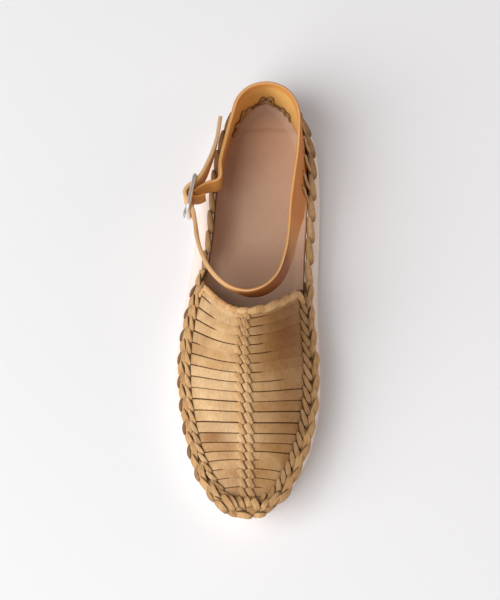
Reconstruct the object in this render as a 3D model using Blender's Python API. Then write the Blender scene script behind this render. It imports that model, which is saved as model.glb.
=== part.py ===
"""Woven leather opanak for the right foot, standing empty and unbent on its sole.

The turned-up leather sole is a boat.  The woven vamp and the ankle band stand inside
its wall, and a braided thong on the rim laces them to it.  The band runs round the heel,
along the medial side, over the instep and through a buckle on the lateral side.

Frame: +Z up, toe towards -Y, heel towards +Y, medial side towards +X, floor at Z = 0.
Sizes below are millimetres, and the meshes are metres.
"""

import math

import bmesh
import bpy
import numpy as np
from mathutils import Vector

MM = 0.001
GAP = 0.3
CENTRE = Vector((-0.65, -0.4, 0.0))
TURN_STEP = 0.02
SHARP_DEGREES = 40.0

# Sole
SOLE_THICKNESS = 4.2
WALL_THICKNESS = 2.6
RIM_LEAN = 2.2
WIDEST_HEIGHT = 5.0
UNDERCUT_FADE = 3
RIM_ROUND = 0.6
OUTLINE_STEPS = 3
# Plan of the rim's outer edge, how far the wall's foot stands out from it, and the rim's height
OUTLINE_COLUMNS = (
    "station", "y", "lateral_x", "medial_x", "lateral_flare", "medial_flare", "rim_z"
)
OUTLINE_ROWS = (
    ("heel_corner", 118.0, -9.4, 19.0, 0.8, 0.6, 15.5),
    ("heel_round", 106.0, -17.2, 27.0, 1.6, 0.9, 15.0),
    ("heel_side", 88.0, -22.8, 32.8, 2.8, 0.9, 14.5),
    ("heel_front", 62.5, -25.8, 34.2, 3.8, 1.5, 14.0),
    ("waist", 37.5, -26.8, 33.8, 4.4, 2.1, 14.0),
    ("instep", 12.5, -29.6, 33.3, 3.6, 2.2, 14.5),
    ("throat", -12.5, -34.6, 34.2, 2.6, 1.8, 15.5),
    ("ball", -37.5, -37.2, 36.6, 2.0, 0.9, 16.0),
    ("joint", -62.5, -35.8, 37.1, 1.4, 0.3, 16.0),
    ("toe_side", -87.5, -30.8, 33.6, -0.2, -0.9, 16.2),
    ("toe_round", -105.5, -24.0, 27.0, -2.0, -2.2, 16.8),
    ("toe_corner", -118.0, -15.0, 19.6, -3.6, -3.6, 17.4),
)
HEEL_END_X, HEEL_END_Y, HEEL_END_FLARE, HEEL_END_RIM_Z = 5.0, 125.8, 0.6, 15.5
TOE_END_X, TOE_END_Y, TOE_END_FLARE, TOE_END_RIM_Z = 2.0, -126.6, -4.4, 17.6
# Underside along the foot: two flat lengths, the arch between them and the toe spring
BOTTOM_COLUMNS = ("y", "lift")
BOTTOM_ROWS = (
    (140.0, 0.0),
    (60.0, 0.0),
    (42.0, 0.6),
    (18.0, 2.2),
    (-4.0, 0.6),
    (-22.0, 0.0),
    (-70.0, 0.0),
    (-92.0, 0.9),
    (-112.0, 2.6),
    (-128.0, 4.6),
)
# Inner hollow of the sole, as inset from the wall's inner face and height above its floor
HOLLOW_ROWS = ((0.0, 4.0), (1.0, 2.0), (2.4, 0.7), (4.6, 0.0))

# Insole
INSOLE_THICKNESS = 2.2

# Woven vamp
VAMP_THICKNESS = 2.0
MARGIN_HEIGHT = 9.8
STRIP_COUNT = 21
STRIP_RISE = 0.5
GROOVE_SHARE = 0.07
RIDGE_OFFSET = 2.6
RIDGE_HALF_WIDTH = 2.1
RIDGE_RISE = 1.5
TWINE_OFFSET = 4.2
TWINE_HALF_WIDTH = 1.6
TWINE_RISE = 1.1
THROAT_ROLL_RISE = 1.0
THROAT_ROLL_STRIPS = 0.6
ARCH_POWER, ARCH_ROUND = 2.0, 0.7
SWEEP_POWER = 2.0
VAMP_COLUMNS = ("strip", "lateral_y", "medial_y", "spine_x", "spine_y", "spine_z")
VAMP_ROWS = (
    (0.0, 5.5, 2.5, -1.2, -24.0, 49.5),
    (4.0, -22.7, -23.7, -1.7, -42.4, 46.2),
    (7.0, -42.4, -42.4, -0.7, -56.2, 42.6),
    (11.0, -68.2, -68.2, 0.0, -75.2, 36.2),
    (13.0, -80.8, -80.8, 0.3, -85.4, 32.4),
    (17.0, -102.0, -102.0, 0.8, -101.8, 25.2),
    (21.0, -120.8, -120.8, 1.7, -119.4, 18.4),
)

# Braided thong on the rim
BRAID_INSET = 2.7
BRAID_LIFT = 2.95
BRAID_SCALE_COLUMNS = ("y", "scale")
BRAID_SCALE_ROWS = ((-140.0, 1.0), (-12.0, 1.0), (22.0, 0.72), (140.0, 0.72))
BRAID_HALF_WIDTH = 3.3
BRAID_HALF_THICKNESS = 2.3
BRAID_LOBE = 0.3
BRAID_TILT = math.radians(32)
BRAID_PITCH = 13.0
BRAID_STEPS_PER_LOBE = 3
BRAID_SIDES = 8

# Ankle band: top edge of the leather's middle layer, free width, inward lean, thickness, and
# the number of sections to the next row.  It starts at the thinned end folded round the
# buckle's centre bar and ends at the tail's tip.
BAND_EDGE = 0.3
BAND_THICKNESS = 2.1
LACED_RUN_IN = 10.0
LACED = None
BAND_COLUMNS = ("place", "x", "y", "top_z", "width", "lean_deg", "thickness", "sections")
BAND_ROWS = (
    ("fold_end", -25.2, 48.9, 35.6, 8.6, 0.0, 1.2, 1),
    ("fold_front", -29.2, 47.0, 36.6, 9.6, 0.0, 1.2, 1),
    ("bar_front_inner", -31.40, 46.93, 37.2, 10.0, 0.0, 1.2, 1),
    ("bar_front_outer", -33.10, 46.93, 37.2, 10.0, 0.0, 1.2, 1),
    ("bar_outer", -33.95, 48.40, 37.2, 10.0, 0.0, 1.2, 1),
    ("bar_rear_outer", -33.10, 49.87, 37.2, 10.0, 0.0, 1.2, 1),
    ("bar_rear_inner", -31.40, 49.87, 37.2, 10.0, 0.0, 1.2, 1),
    ("fold_rear", -28.6, 52.4, 37.0, 10.6, 0.0, 1.4, 1),
    ("flap", -23.6, 55.6, 36.4, 11.6, 0.0, 1.8, 2),
    ("flap_turn", -18.9, 57.2, 36.0, 12.0, 0.0, 2.1, 2),
    ("bulge", -17.2, 60.8, 35.8, 12.8, 4.0, 2.1, 2),
    ("lateral_front", -17.7, 67.5, 35.6, LACED, LACED, 2.1, 2),
    ("lateral_side", -15.6, 80.0, 36.0, LACED, LACED, 2.1, 2),
    ("heel_lateral", -12.4, 95.0, 36.8, LACED, LACED, 2.1, 2),
    ("heel_corner", -9.0, 106.6, 37.8, LACED, LACED, 2.1, 2),
    ("heel_bend", -3.0, 112.8, 38.1, LACED, LACED, 2.1, 2),
    ("heel_back", 6.4, 115.3, 38.2, LACED, LACED, 2.1, 2),
    ("heel_turn", 15.8, 112.2, 38.1, LACED, LACED, 2.1, 2),
    ("heel_side", 21.4, 105.6, 37.8, LACED, LACED, 2.1, 2),
    ("heel_medial", 24.2, 94.0, 37.2, LACED, LACED, 2.1, 2),
    ("medial_side", 24.0, 78.0, 37.2, LACED, LACED, 2.1, 3),
    ("medial_front", 22.4, 60.0, 38.6, LACED, LACED, 2.1, 3),
    ("medial_rise", 20.9, 43.5, 41.0, 17.0, 22.0, 2.1, 3),
    ("instep_medial", 20.4, 27.0, 44.4, 13.0, 18.0, 2.1, 3),
    ("instep_turn", 19.0, 10.0, 48.6, 12.0, 12.0, 2.1, 3),
    ("instep_corner", 14.9, -5.0, 52.3, 12.0, 3.0, 2.1, 3),
    ("instep_round", 8.0, -12.8, 54.0, 12.0, -4.0, 2.1, 2),
    ("instep_front", -0.8, -15.6, 54.4, 12.0, -13.0, 2.1, 2),
    ("front_round", -8.9, -13.4, 54.0, 12.0, -18.0, 2.1, 2),
    ("instep_lateral", -16.0, -7.1, 51.9, 12.0, -14.0, 2.1, 3),
    ("strap_turn", -22.6, 3.1, 48.8, 12.0, -9.0, 2.1, 3),
    ("strap_down", -28.0, 19.0, 44.0, 12.0, -4.0, 2.1, 4),
    ("under_front_bar", -31.0, 37.6, 38.8, 11.6, 0.0, 2.1, 4),
    ("over_centre_bar", -35.9, 48.9, 38.8, 11.6, 0.0, 2.1, 4),
    ("under_rear_bar", -28.0, 58.4, 38.8, 11.6, 0.0, 2.1, 3),
    ("tail", -23.2, 70.5, 37.4, 11.6, 4.0, 2.1, 3),
    ("tail_end", -19.9, 83.0, 36.2, 11.4, 8.0, 2.1, 3),
    ("tail_tip", -18.6, 96.5, 34.6, 7.5, 8.0, 2.1, 0),
)

# Buckle, its plane upright between the ends of the frame
BUCKLE_FRONT = Vector((-33.9, 37.0, 33.0))
BUCKLE_REAR = Vector((-30.6, 59.8, 33.0))
BUCKLE_HEIGHT = 16.8
BUCKLE_WIRE = 1.0
BUCKLE_CORNER = 3.0
BAR_RADIUS = 0.8
PRONG_RADIUS = 0.85
PRONG_OVERHANG = 1.6
PRONG_START = 0.4
HOLE_CLEARANCE = 0.45


def spline(knots, values):
    """A smooth curve through a table's rows, as a function of its first column."""
    knots = np.array(knots, float)
    values = np.array(values, float)
    order = np.argsort(knots)
    knots, values = knots[order], values[order]
    chords = np.diff(values) / np.diff(knots)
    slopes = np.concatenate([chords[:1], (chords[:-1] + chords[1:]) / 2, chords[-1:]])
    flat = np.concatenate([[False], chords[:-1] * chords[1:] <= 0, [False]])
    slopes[flat] = 0.0

    def at(x):
        x = min(max(x, knots[0]), knots[-1])
        i = int(min(max(np.searchsorted(knots, x) - 1, 0), len(knots) - 2))
        step = knots[i + 1] - knots[i]
        s = (x - knots[i]) / step
        rise = (3 - 2 * s) * s * s
        start = s * (1 - s) ** 2 * step * slopes[i]
        end = -s * s * (1 - s) * step * slopes[i + 1]
        return float(values[i] + rise * (values[i + 1] - values[i]) + start + end)

    return at


def closed_spline(values):
    """A periodic curve with even knots through the values, smooth to its second derivative."""
    values = np.array(values, float)
    count = len(values)
    system = 4 * np.eye(count) + np.roll(np.eye(count), 1, 0) + np.roll(np.eye(count), -1, 0)
    bends = 6 * (np.roll(values, 1) - 2 * values + np.roll(values, -1))
    second = np.linalg.solve(system, bends)

    def at(t):
        i = int(math.floor(t)) % count
        j = (i + 1) % count
        s = t - math.floor(t)
        line = values[i] * (1 - s) + values[j] * s
        sag = ((1 - s) ** 3 - (1 - s)) * second[i] + (s**3 - s) * second[j]
        return float(line + sag / 6)

    return at


def column(table, columns, name):
    """One named column of a table."""
    return [row[columns.index(name)] for row in table]


# Outline of the sole in plan, as a closed curve: heel end, lateral side, toe end, medial side
OUTLINE_COUNT = 2 * len(OUTLINE_ROWS) + 2
ROW_Y = column(OUTLINE_ROWS, OUTLINE_COLUMNS, "y")
ROW_RIM = column(OUTLINE_ROWS, OUTLINE_COLUMNS, "rim_z")
LATERAL_X = column(OUTLINE_ROWS, OUTLINE_COLUMNS, "lateral_x")
MEDIAL_X = column(OUTLINE_ROWS, OUTLINE_COLUMNS, "medial_x")
LATERAL_FLARE = column(OUTLINE_ROWS, OUTLINE_COLUMNS, "lateral_flare")
MEDIAL_FLARE = column(OUTLINE_ROWS, OUTLINE_COLUMNS, "medial_flare")
outline_x = closed_spline([HEEL_END_X] + LATERAL_X + [TOE_END_X] + MEDIAL_X[::-1])
outline_y = closed_spline([HEEL_END_Y] + ROW_Y + [TOE_END_Y] + ROW_Y[::-1])
rim_height = closed_spline([HEEL_END_RIM_Z] + ROW_RIM + [TOE_END_RIM_Z] + ROW_RIM[::-1])
wall_flare = closed_spline(
    [HEEL_END_FLARE] + LATERAL_FLARE + [TOE_END_FLARE] + MEDIAL_FLARE[::-1]
)
bottom_lift = spline(
    column(BOTTOM_ROWS, BOTTOM_COLUMNS, "y"), column(BOTTOM_ROWS, BOTTOM_COLUMNS, "lift")
)


def outline(t, inset, z):
    """A point at station t of the outline, moved inwards by inset in plan, at height z."""
    along = Vector(
        (
            outline_x(t + TURN_STEP) - outline_x(t - TURN_STEP),
            outline_y(t + TURN_STEP) - outline_y(t - TURN_STEP),
            0.0,
        )
    ).normalized()
    inwards = Vector((-along.y, along.x, 0.0))
    return Vector((outline_x(t), outline_y(t), z)) + inwards * inset


def station_at(y, lateral, inset):
    """The outline's station where the inset curve reaches y on one side."""
    half = OUTLINE_COUNT / 2
    low, high = 0.0, half
    for _ in range(40):
        middle = (low + high) / 2
        t = middle if lateral else OUTLINE_COUNT - middle
        if outline(t, inset, 0.0).y > y:
            low = middle
        else:
            high = middle
    return low if lateral else OUTLINE_COUNT - low


def loft(name, loops, material, closed=False):
    """A closed solid through loops of points in millimetres.

    An open row of loops is capped by pairing the two halves of its end loops.
    """
    mesh = bmesh.new()
    rows = [[mesh.verts.new((point - CENTRE) * MM) for point in loop] for loop in loops]
    count = len(rows[0])
    ends = rows[1:] + rows[:1] if closed else rows[1:]
    for row, following in zip(rows, ends):
        for i in range(count):
            j = (i + 1) % count
            mesh.faces.new((row[i], row[j], following[j], following[i]))
    for row in () if closed else (rows[0], rows[-1]):
        for i in range(count // 2 - 1):
            mesh.faces.new((row[i], row[i + 1], row[count - 2 - i], row[count - 1 - i]))
    bmesh.ops.recalc_face_normals(mesh, faces=mesh.faces)
    data = bpy.data.meshes.new(name)
    mesh.to_mesh(data)
    mesh.free()
    data.shade_smooth()
    data.set_sharp_from_angle(angle=math.radians(SHARP_DEGREES))
    return place(bpy.data.objects.new(name, data), material)


def place(piece, material):
    """Links a finished piece into the shoe's collection with its material."""
    piece.data.materials.clear()
    piece.data.materials.append(material)
    bpy.data.collections["opanak"].objects.link(piece)
    return piece


def finish(name, colour, roughness, metallic=0.0):
    """A plain material for one piece."""
    material = bpy.data.materials.new(name)
    material.use_nodes = True
    shader = material.node_tree.nodes["Principled BSDF"]
    shader.inputs["Base Color"].default_value = (*colour, 1.0)
    shader.inputs["Roughness"].default_value = roughness
    shader.inputs["Metallic"].default_value = metallic
    return material


def ring_stations():
    """Stations of one turn round the outline, even in number and clear of its two ends."""
    count = OUTLINE_COUNT * OUTLINE_STEPS
    return [(i + 0.5) / OUTLINE_STEPS for i in range(count)]


def sole_ring(inset, height, flared=0.0):
    """One ring of the sole, moved out by a share of the wall's flare.

    The height is a function of the station and of the bottom's lift there.  An undercut, where
    the flare is negative, fades out faster up the wall.
    """
    ring = []
    for t in ring_stations():
        lift = bottom_lift(outline_y(t))
        flare = wall_flare(t)
        share = flared if flare > 0 else flared**UNDERCUT_FADE
        ring.append(outline(t, inset - share * flare, height(t, lift)))
    return ring


def build_sole(material):
    """The turned-up leather sole: floor, rounded edge, leaning wall and rim."""
    inner = RIM_LEAN + WALL_THICKNESS
    rings = [
        sole_ring(8.5, lambda t, lift: lift, 1.0),
        sole_ring(3.2, lambda t, lift: lift + 0.4, 1.0),
        sole_ring(0.8, lambda t, lift: lift + 2.0, 1.0),
        sole_ring(0.0, lambda t, lift: lift + WIDEST_HEIGHT, 1.0),
        sole_ring(0.9, lambda t, lift: (lift + WIDEST_HEIGHT + rim_height(t)) / 2, 0.65),
        sole_ring(RIM_LEAN, lambda t, lift: rim_height(t) - RIM_ROUND),
        sole_ring(RIM_LEAN + RIM_ROUND, lambda t, lift: rim_height(t)),
        sole_ring(inner - RIM_ROUND, lambda t, lift: rim_height(t)),
        sole_ring(inner, lambda t, lift: rim_height(t) - RIM_ROUND),
    ]
    for inset, height in HOLLOW_ROWS:
        rings.append(
            sole_ring(inner + inset, lambda t, lift, h=height: lift + SOLE_THICKNESS + h)
        )
    return loft("sole", rings, material)


def build_insole(material):
    """The footbed, dished up at its edge to lie in the sole's hollow."""
    inner = RIM_LEAN + WALL_THICKNESS
    base = SOLE_THICKNESS + GAP + 0.1
    under = [(inset + 0.5, height) for inset, height in HOLLOW_ROWS[:0:-1]]
    over = [(inset + 1.2, height + INSOLE_THICKNESS) for inset, height in HOLLOW_ROWS[1:]]
    rings = []
    for inset, height in under + over:
        rings.append(sole_ring(inner + inset, lambda t, lift, h=height: lift + base + h))
    return loft("insole", rings, material)


vamp_line = {
    name: spline(
        column(VAMP_ROWS, VAMP_COLUMNS, "strip"), column(VAMP_ROWS, VAMP_COLUMNS, name)
    )
    for name in VAMP_COLUMNS[1:]
}
VAMP_INSET = RIM_LEAN + WALL_THICKNESS + GAP


def vamp_section(strip):
    """The spine point and the two rim points of the vamp at a place counted in strips."""
    spine = Vector([vamp_line[name](strip) for name in ("spine_x", "spine_y", "spine_z")])
    rims = []
    for lateral, name in ((True, "lateral_y"), (False, "medial_y")):
        t = station_at(vamp_line[name](strip), lateral, VAMP_INSET)
        rims.append(outline(t, VAMP_INSET, rim_height(t)))
    return spine, rims[0], rims[1]


def arch_point(section, across):
    """A point of the vamp's smooth outer face.

    across runs from -1 at the lateral rim through 0 at the spine to 1 at the medial rim.
    """
    spine, lateral_rim, medial_rim = section
    rim = lateral_rim if across < 0 else medial_rim
    u = min(abs(across), 1.0)
    rise = (1 - u**ARCH_POWER) ** ARCH_ROUND
    x = spine.x + (rim.x - spine.x) * u
    y = spine.y + (rim.y - spine.y) * u**SWEEP_POWER
    return Vector((x, y, rim.z + (spine.z - rim.z) * rise))


def bump(distance, half_width):
    """A rounded ridge: 1 on its crest and 0 past its half width."""
    s = min(abs(distance) / half_width, 1.0)
    return math.sqrt(1 - s * s)


def vamp_columns(half):
    """Distances from the spine to the vamp's columns on one side, for that side's half width."""
    ridge = min(1.0, 0.42 * half / (RIDGE_OFFSET + RIDGE_HALF_WIDTH))
    twine = min(1.0, 0.5 * half / (TWINE_OFFSET + TWINE_HALF_WIDTH))
    ridge_places = [
        (RIDGE_OFFSET + k * RIDGE_HALF_WIDTH) * ridge for k in (-0.95, 0.0, 0.95)
    ]
    twine_places = [
        half - (TWINE_OFFSET - k * TWINE_HALF_WIDTH) * twine for k in (-0.95, 0.0, 0.95)
    ]
    middle = (ridge_places[-1] + twine_places[0]) / 2
    places = ridge_places + [middle] + twine_places
    rises = [0.0, RIDGE_RISE * ridge, 0.0, 0.0, 0.0, TWINE_RISE * twine, 0.0]
    return [p / half for p in places], rises


def vamp_loop(strip, crest):
    """One closed section of the vamp's wall; crest is the share of the weave's rise."""
    section = vamp_section(strip)
    ahead = vamp_section(min(strip + 0.1, STRIP_COUNT))
    behind = vamp_section(max(strip - 0.1, 0.0))
    spine, lateral_rim, medial_rim = section
    lateral, lateral_rise = vamp_columns((spine.xy - lateral_rim.xy).length)
    medial, medial_rise = vamp_columns((spine.xy - medial_rim.xy).length)
    places = [-1.0] + [-u for u in lateral[::-1]] + [0.0] + medial + [1.0]
    rises = [0.0] + lateral_rise[::-1] + [0.0] + medial_rise + [0.0]
    throat = THROAT_ROLL_RISE * bump(strip - THROAT_ROLL_STRIPS / 2, THROAT_ROLL_STRIPS)
    outer, inner = [], []
    for u, rise in zip(places, rises):
        point = arch_point(section, u)
        edge = max(-0.999, min(0.999, u))
        sideways = arch_point(section, edge + 0.001) - arch_point(section, edge - 0.001)
        lengthways = arch_point(ahead, u) - arch_point(behind, u)
        normal = lengthways.cross(sideways).normalized()
        if normal.z < 0 or abs(u) == 1.0:
            flat = Vector((normal.x, normal.y, 0.0))
            normal = flat.normalized() if flat.length > 0 else Vector((u, 0.0, 0.0))
        roll = throat * (1 - abs(u) ** 6)
        weave = STRIP_RISE * crest + rise * (0.35 + 0.65 * crest) + roll
        raised = weave if abs(u) < 1.0 else 0.0
        outer.append(point + normal * raised)
        inner.append(point - normal * VAMP_THICKNESS)
    for points in (outer, inner):
        for rim, end in ((outer[0], 0), (outer[-1], len(points) + 1)):
            edge = points[0] if end == 0 else points[-1]
            foot = bottom_lift(rim.y) + MARGIN_HEIGHT
            points.insert(end, Vector((edge.x, edge.y, foot)))
    return outer + inner[::-1]


def build_vamp(material):
    """The woven vamp as one wall: each cross strip has a groove before it and two raised edges."""
    loops = []
    for strip in range(STRIP_COUNT):
        for share, crest in ((0.0, 0.0), (GROOVE_SHARE, 1.0), (1.0 - GROOVE_SHARE, 1.0)):
            loops.append(vamp_loop(strip + share, crest))
    loops.append(vamp_loop(STRIP_COUNT - 0.001, 0.0))
    return loft("vamp", loops, material)


def build_braid(material):
    """The thong braided round the whole rim, one rope with its strands' lobes raised."""
    points = 720
    stations = [OUTLINE_COUNT * i / points for i in range(points)]
    path = [outline(t, BRAID_INSET, 0.0) for t in stations]
    steps = [(b - a).length for a, b in zip(path, path[1:] + path[:1])]
    travelled = np.concatenate([[0.0], np.cumsum(steps)])
    lobes = round(travelled[-1] / BRAID_PITCH)
    scale_at = spline(
        column(BRAID_SCALE_ROWS, BRAID_SCALE_COLUMNS, "y"),
        column(BRAID_SCALE_ROWS, BRAID_SCALE_COLUMNS, "scale"),
    )
    loops = []
    for i in range(lobes * BRAID_STEPS_PER_LOBE):
        turn = i / BRAID_STEPS_PER_LOBE
        length = travelled[-1] * turn / lobes
        t = float(np.interp(length, travelled, stations + [OUTLINE_COUNT]))
        scale = scale_at(outline_y(t))
        centre = outline(t, BRAID_INSET, rim_height(t) + BRAID_LIFT * scale)
        inwards = (outline(t, 1.0, 0.0) - outline(t, 0.0, 0.0)).normalized()
        up = Vector((0.0, 0.0, 1.0))
        wide = inwards * math.cos(BRAID_TILT) + up * math.sin(BRAID_TILT)
        thick = up * math.cos(BRAID_TILT) - inwards * math.sin(BRAID_TILT)
        loop = []
        for k in range(BRAID_SIDES):
            angle = 2 * math.pi * (k + 0.5) / BRAID_SIDES
            phase = turn if math.cos(angle) > 0 else turn + 0.5
            swell = 1 - BRAID_LOBE * (0.5 + 0.5 * math.cos(2 * math.pi * phase))
            across = BRAID_HALF_WIDTH * math.cos(angle) * swell
            out = BRAID_HALF_THICKNESS * math.sin(angle) * (0.5 + 0.5 * swell)
            loop.append(centre + (wide * across + thick * out) * scale)
        loops.append(loop)
    return loft("rim_braid", loops, material, closed=True)


def band_frames():
    """Sections of the ankle band along its length.

    Each is the top point, the way down to the lower edge, the outward normal, the width and
    the thickness.
    """
    places = np.array([row[1:4] for row in BAND_ROWS], float)
    chords = np.linalg.norm(np.diff(places, axis=0), axis=1)
    knots = np.concatenate([[0.0], np.cumsum(chords)])
    line = [spline(knots, places[:, axis]) for axis in range(3)]
    thickness = spline(knots, column(BAND_ROWS, BAND_COLUMNS, "thickness"))
    free = [(k, row) for k, row in zip(knots, BAND_ROWS) if row[4] is not LACED]
    width = spline([k for k, _ in free], [row[4] for _, row in free])
    lean = spline([k for k, _ in free], [row[5] for _, row in free])
    laced = [k for k, row in zip(knots, BAND_ROWS) if row[4] is LACED]
    stops = [knots[-1]]
    for start, end, row in zip(knots, knots[1:], BAND_ROWS):
        stops += [start + (end - start) * i / row[7] for i in range(row[7])]
    frames = []
    for s in sorted(stops):
        top = Vector([part(s) for part in line])
        along = Vector([part(s + 0.2) - part(s - 0.2) for part in line])
        along.z = 0.0
        along.normalize()
        outwards = Vector((-along.y, along.x, 0.0))
        angle = math.radians(lean(s))
        down = Vector((0.0, 0.0, -math.cos(angle))) + outwards * math.sin(angle)
        span = down * width(s)
        hold = laced_share(s, laced)
        if hold > 0:
            span = span.lerp(laced_foot(top) - top, hold)
        normal = along.cross(span).normalized()
        outward = normal if normal.dot(outwards) > 0 else -normal
        frames.append((top, span.normalized(), outward, span.length, thickness(s)))
    return frames


def laced_share(s, laced):
    """How far the lower edge is held in the sole: 1 where laced, easing to 0 beyond the ends."""
    before = (s - laced[0] + LACED_RUN_IN) / LACED_RUN_IN
    after = (laced[-1] - s + LACED_RUN_IN) / LACED_RUN_IN
    share = max(0.0, min(1.0, before, after))
    return share * share * (3 - 2 * share)


def laced_foot(top):
    """Where the band's lower edge stands inside the sole's wall, nearest to its top edge."""
    inset = VAMP_INSET + BAND_THICKNESS / 2
    best = None
    for i in range(OUTLINE_COUNT * 16):
        foot = outline(i / 16, inset, MARGIN_HEIGHT)
        apart = (foot.xy - top.xy).length
        if best is None or apart < best[0]:
            best = (apart, foot)
    return best[1]


def build_band(material):
    """The ankle band as one strip of thick leather with eased edges."""
    loops = []
    for top, down, out, reach, thickness in band_frames():
        half = thickness / 2
        across = (
            (0.0, half - BAND_EDGE),
            (BAND_EDGE, half),
            (reach - BAND_EDGE, half),
            (reach, half - BAND_EDGE),
        )
        outer = [top + down * d + out * h for d, h in across]
        inner = [top + down * d - out * h for d, h in across]
        loops.append(outer + inner[::-1])
    return loft("ankle_band", loops, material)


BUCKLE_ALONG = (BUCKLE_REAR - BUCKLE_FRONT).normalized()
BUCKLE_OUT = Vector((-BUCKLE_ALONG.y, BUCKLE_ALONG.x, 0.0))
BUCKLE_MIDDLE = (BUCKLE_FRONT + BUCKLE_REAR) / 2


def buckle_point(along, up, out):
    """A point in the buckle's own directions, from the middle of its centre bar."""
    return BUCKLE_MIDDLE + BUCKLE_ALONG * along + Vector((0.0, 0.0, up)) + BUCKLE_OUT * out


def wire(name, points, radius, material, cyclic=False, sides=2):
    """A bent wire along points in millimetres, made a mesh with welded caps."""
    curve = bpy.data.curves.new(name, "CURVE")
    curve.dimensions = "3D"
    curve.bevel_depth = radius * MM
    curve.bevel_resolution = sides
    curve.use_fill_caps = True
    path = curve.splines.new("POLY")
    path.points.add(len(points) - 1)
    for knot, point in zip(path.points, points):
        knot.co = (*((point - CENTRE) * MM), 1.0)
    path.use_cyclic_u = cyclic
    bent = bpy.data.objects.new(name + "_path", curve)
    bpy.context.scene.collection.objects.link(bent)
    graph = bpy.context.evaluated_depsgraph_get()
    data = bpy.data.meshes.new_from_object(bent.evaluated_get(graph))
    bpy.data.objects.remove(bent)
    welded = bmesh.new()
    welded.from_mesh(data)
    bmesh.ops.remove_doubles(welded, verts=welded.verts, dist=0.00001)
    bmesh.ops.recalc_face_normals(welded, faces=welded.faces)
    welded.to_mesh(data)
    welded.free()
    data.name = name
    data.shade_smooth()
    return place(bpy.data.objects.new(name, data), material)


def cutter(piece):
    """Moves a helper into the cutters' collection, hidden from the render."""
    bpy.data.collections["opanak"].objects.unlink(piece)
    bpy.data.collections["cutters"].objects.link(piece)
    piece.hide_render = True
    piece.display_type = "WIRE"
    return piece


def boolean(piece, other, operation):
    """Cuts or joins one piece with another."""
    modifier = piece.modifiers.new(operation.lower(), "BOOLEAN")
    modifier.operation = operation
    modifier.object = other
    modifier.solver = "EXACT"


def build_buckle(material):
    """The frame: a rounded rectangle of wire with a centre bar fused across it."""
    half_length = (BUCKLE_REAR - BUCKLE_FRONT).length / 2 - BUCKLE_WIRE
    half_height = BUCKLE_HEIGHT / 2 - BUCKLE_WIRE
    points = []
    corners = ((1, 1, 0), (-1, 1, 90), (-1, -1, 180), (1, -1, 270))
    for side, rise, start in corners:
        for step in range(5):
            angle = math.radians(start + 22.5 * step)
            along = side * (half_length - BUCKLE_CORNER) + BUCKLE_CORNER * math.cos(angle)
            up = rise * (half_height - BUCKLE_CORNER) + BUCKLE_CORNER * math.sin(angle)
            points.append(buckle_point(along, up, 0.0))
    frame = wire("buckle_frame", points, BUCKLE_WIRE, material, cyclic=True)
    bar_ends = [buckle_point(0.0, side * (half_height + 0.3), 0.0) for side in (-1, 1)]
    bar = cutter(wire("centre_bar", bar_ends, BAR_RADIUS, material))
    boolean(frame, bar, "UNION")
    return frame


def prong_points():
    """The prong's line from the centre bar, out through the strap and over the front bar."""
    clear = BAR_RADIUS + PRONG_RADIUS + GAP
    half_length = (BUCKLE_REAR - BUCKLE_FRONT).length / 2
    over = BUCKLE_WIRE + PRONG_RADIUS + GAP
    return [
        buckle_point(-clear, 0.0, PRONG_START),
        buckle_point(-2.0 * clear, 0.0, 2.0 * PRONG_START),
        buckle_point(-half_length + BUCKLE_WIRE, 0.0, over),
        buckle_point(-half_length - PRONG_OVERHANG, 0.0, over - 0.3),
    ]


def build_prong(material):
    """The buckle's prong."""
    return wire("buckle_prong", prong_points(), PRONG_RADIUS, material)


def cut_band(band, material):
    """Cuts the prong's slot in the fold round the bar and its hole through the strap."""
    way = [buckle_point(0.0, 0.0, PRONG_START)] + prong_points()[:3]
    hole = wire("prong_hole", way, PRONG_RADIUS + HOLE_CLEARANCE, material)
    boolean(band, cutter(hole), "DIFFERENCE")


def main():
    """Builds the shoe."""
    for old in list(bpy.data.objects):
        bpy.data.objects.remove(old)
    for name in ("opanak", "cutters"):
        bpy.context.scene.collection.children.link(bpy.data.collections.new(name))
    sole_leather = finish("sole_leather", (0.80, 0.60, 0.48), 0.6)
    insole_leather = finish("insole_leather", (0.55, 0.36, 0.26), 0.7)
    woven_leather = finish("woven_leather", (0.56, 0.36, 0.19), 0.55)
    band_leather = finish("band_leather", (0.55, 0.27, 0.08), 0.45)
    steel = finish("buckle_steel", (0.72, 0.72, 0.74), 0.3, 1.0)
    build_sole(sole_leather)
    build_insole(insole_leather)
    build_vamp(woven_leather)
    build_braid(woven_leather)
    band = build_band(band_leather)
    build_buckle(steel)
    build_prong(steel)
    cut_band(band, band_leather)


main()
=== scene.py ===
"""Looks of a woven leather opanak for the right foot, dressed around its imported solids.

The shoe stands on a pale studio floor and is seen from above its toe.  Sizes are millimetres in
the maker's own coordinates: toe towards -Y, heel towards +Y, medial side towards +X, floor at
Z = 0.  Points are moved to the shoe's centre and scaled to metres as a mesh is made.
"""

import logging
import math
from dataclasses import dataclass, field, replace
from enum import Enum
from typing import Any, Sequence

import bmesh
import bpy
import numpy as np
from mathutils import Matrix, Vector


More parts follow.
